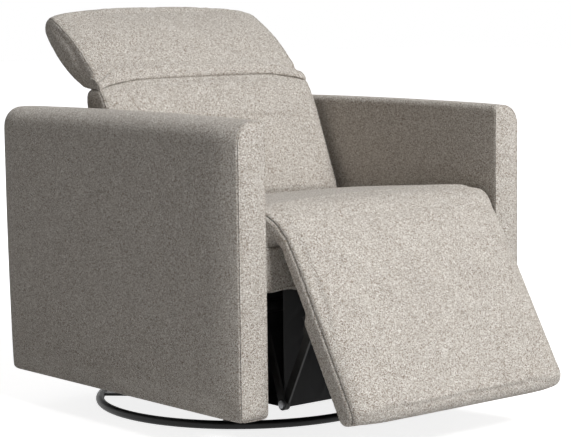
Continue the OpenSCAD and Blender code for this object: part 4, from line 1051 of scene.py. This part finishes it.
for seed, (part, sew) in enumerate(sewn.items(), start=11):
    paths = seamsOn[part]
    owners = sew["covers"] * (len(paths) // len(sew["covers"]))
    cord = alongPaths(part + "_seam_cord", paths, cords, sew["cloth"], "fabric", Radius=sew["cord"])
    rows = [beside(cover, path) for cover, path in zip(owners, paths)]
    row = alongPaths(part + "_stitches", rows, stitches, thread, "fabric", Seed=seed, **sewing)
    for piece in (cord, row):
        if "bends" in sew:
            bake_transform(piece)
        else:
            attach(piece, sew["rides"])

# The hem of the front flap, and staples along the edges of the two dust cloths
hem = [(x, apron["y"] - apron["thick"] / 2 - 0.0008, z + 0.004)
       for x, _, z in (apronSpot(u, 1.0) for u in np.linspace(0.004, 0.996, 90))]
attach(alongPaths("apron_hem", [onSkin(apronPiece, hem)], cords, fabric, "fabric", Radius=0.0011),
        "carriage")
staple = {"inset": 0.008, "spacing": 0.046, "length": 0.0098, "thick": 0.0007}


def stapleRow(name):
    (x0, y0, z), (x1, y1, _) = linings[name]["low"], linings[name]["high"]
    y = y0 + staple["inset"] if name.startswith("front") else y1 - staple["inset"]
    return [(x, y, z - cloth["thick"]) for x in (x0 + staple["inset"], x1 - staple["inset"])]


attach(alongPaths("dust_cloth_staples", [stapleRow(n) for n in ("front_dust_cloth", "rear_dust_cloth")],
                   stitches, finishes["zinc_steel"], "zinc_steel", Step=staple["spacing"],
                   Length=staple["length"], Thickness=staple["thick"], Unevenness=0.0), "carriage")
print("stage: stitches, hem and staples")


# Camera, light and floor

view = {"azimuth": -40.01, "elevation": 6.43, "roll": -0.71, "at": (-2.67526, -3.32711, 0.87334),
        "lens": 125.0, "sensor": 36.0}


def makeCamera():
    a, e = radians(view["azimuth"]), radians(view["elevation"])
    camera = bpy.data.objects.new("camera", bpy.data.cameras.new("camera"))
    camera.data.lens, camera.data.sensor_width = view["lens"], view["sensor"]
    scene.collection.objects.link(camera)
    ahead = Vector((-sin(a) * cos(e), cos(a) * cos(e), -sin(e)))
    turn = ahead.to_track_quat("-Z", "Y").to_matrix() @ Matrix.Rotation(radians(view["roll"]), 3, "Z")
    camera.matrix_world = Matrix.Translation(view["at"]) @ turn.to_4x4()
    scene.camera = camera


light = {"keyAt": (0.7, -7.4, 7.0), "keyAim": (0.0, -0.1, 0.35), "keySize": 3.6, "keyPower": 1000,
         "rearAt": (3.4, 5.6, 3.6), "rearSize": 4.0, "rearPower": 90,
         "room": 0.065, "roomTint": (1.0, 0.94, 0.87), "floorSize": 40, "floorGlow": 0.84,
         "clear": (1.0, 2.4), "floorShade": (0.66, 0.66, 0.66)}


def whiteToEyes(tree):
    path = add(tree, "LightPath").outputs
    clear = maths(tree, "MAXIMUM", path["Is Camera Ray"], path["Is Transmission Ray"])
    return maths(tree, "MAXIMUM", clear, path["Is Glossy Ray"])


def makeStage():
    for which in ("key", "rear"):
        lamp = bpy.data.objects.new(which + "_lamp", bpy.data.lights.new(which + "_lamp", "AREA"))
        lamp.data.size, lamp.data.energy = light[which + "Size"], light[which + "Power"]
        lamp.location = light[which + "At"]
        lamp.rotation_euler = (Vector(light["keyAim"]) - lamp.location).to_track_quat("-Z", "Y").to_euler()
        scene.collection.objects.link(lamp)
    world = bpy.data.worlds.new("room")
    scene.world = world
    world.use_nodes = True
    tree = world.node_tree
    tree.nodes.clear()
    room = add(tree, "Background", {"Color": (*light["roomTint"], 1), "Strength": light["room"]})
    bright = add(tree, "Background", {"Color": (1, 1, 1, 1), "Strength": 1.0})
    mix = add(tree, "MixShader", links={0: whiteToEyes(tree), 1: room.outputs[0], 2: bright.outputs[0]})
    add(tree, "OutputWorld", links={"Surface": mix.outputs[0]})
    half = light["floorSize"] / 2
    floor = meshObject("floor", [(-half, -half, 0), (half, -half, 0), (half, half, 0), (-half, half, 0)],
                       [(0, 1, 2, 3)])
    material, tree, shader, place = surface("pale_floor", light["floorShade"], 0.9)
    # To the camera the floor glows a little near the chair and fades to plain white further out
    away = add(tree, "VectorMath", links={0: place}, operation="LENGTH").outputs["Value"]
    far = add(tree, "MapRange", {"From Min": light["clear"][0], "From Max": light["clear"][1],
                                 "To Min": light["floorGlow"], "To Max": 1.0}, {"Value": away})
    glow = add(tree, "Emission", {"Color": (1, 1, 1, 1)},
               {"Strength": maths(tree, "MULTIPLY", far.outputs["Result"], whiteToEyes(tree))})
    both = add(tree, "AddShader", links={0: shader.outputs[0], 1: glow.outputs[0]})
    tree.links.new(both.outputs[0], tree.nodes["Material Output"].inputs["Surface"])
    floor.data.materials.append(material)


makeCamera()
makeStage()
scene.view_settings.view_transform = "Standard"

print("stage: dressed")
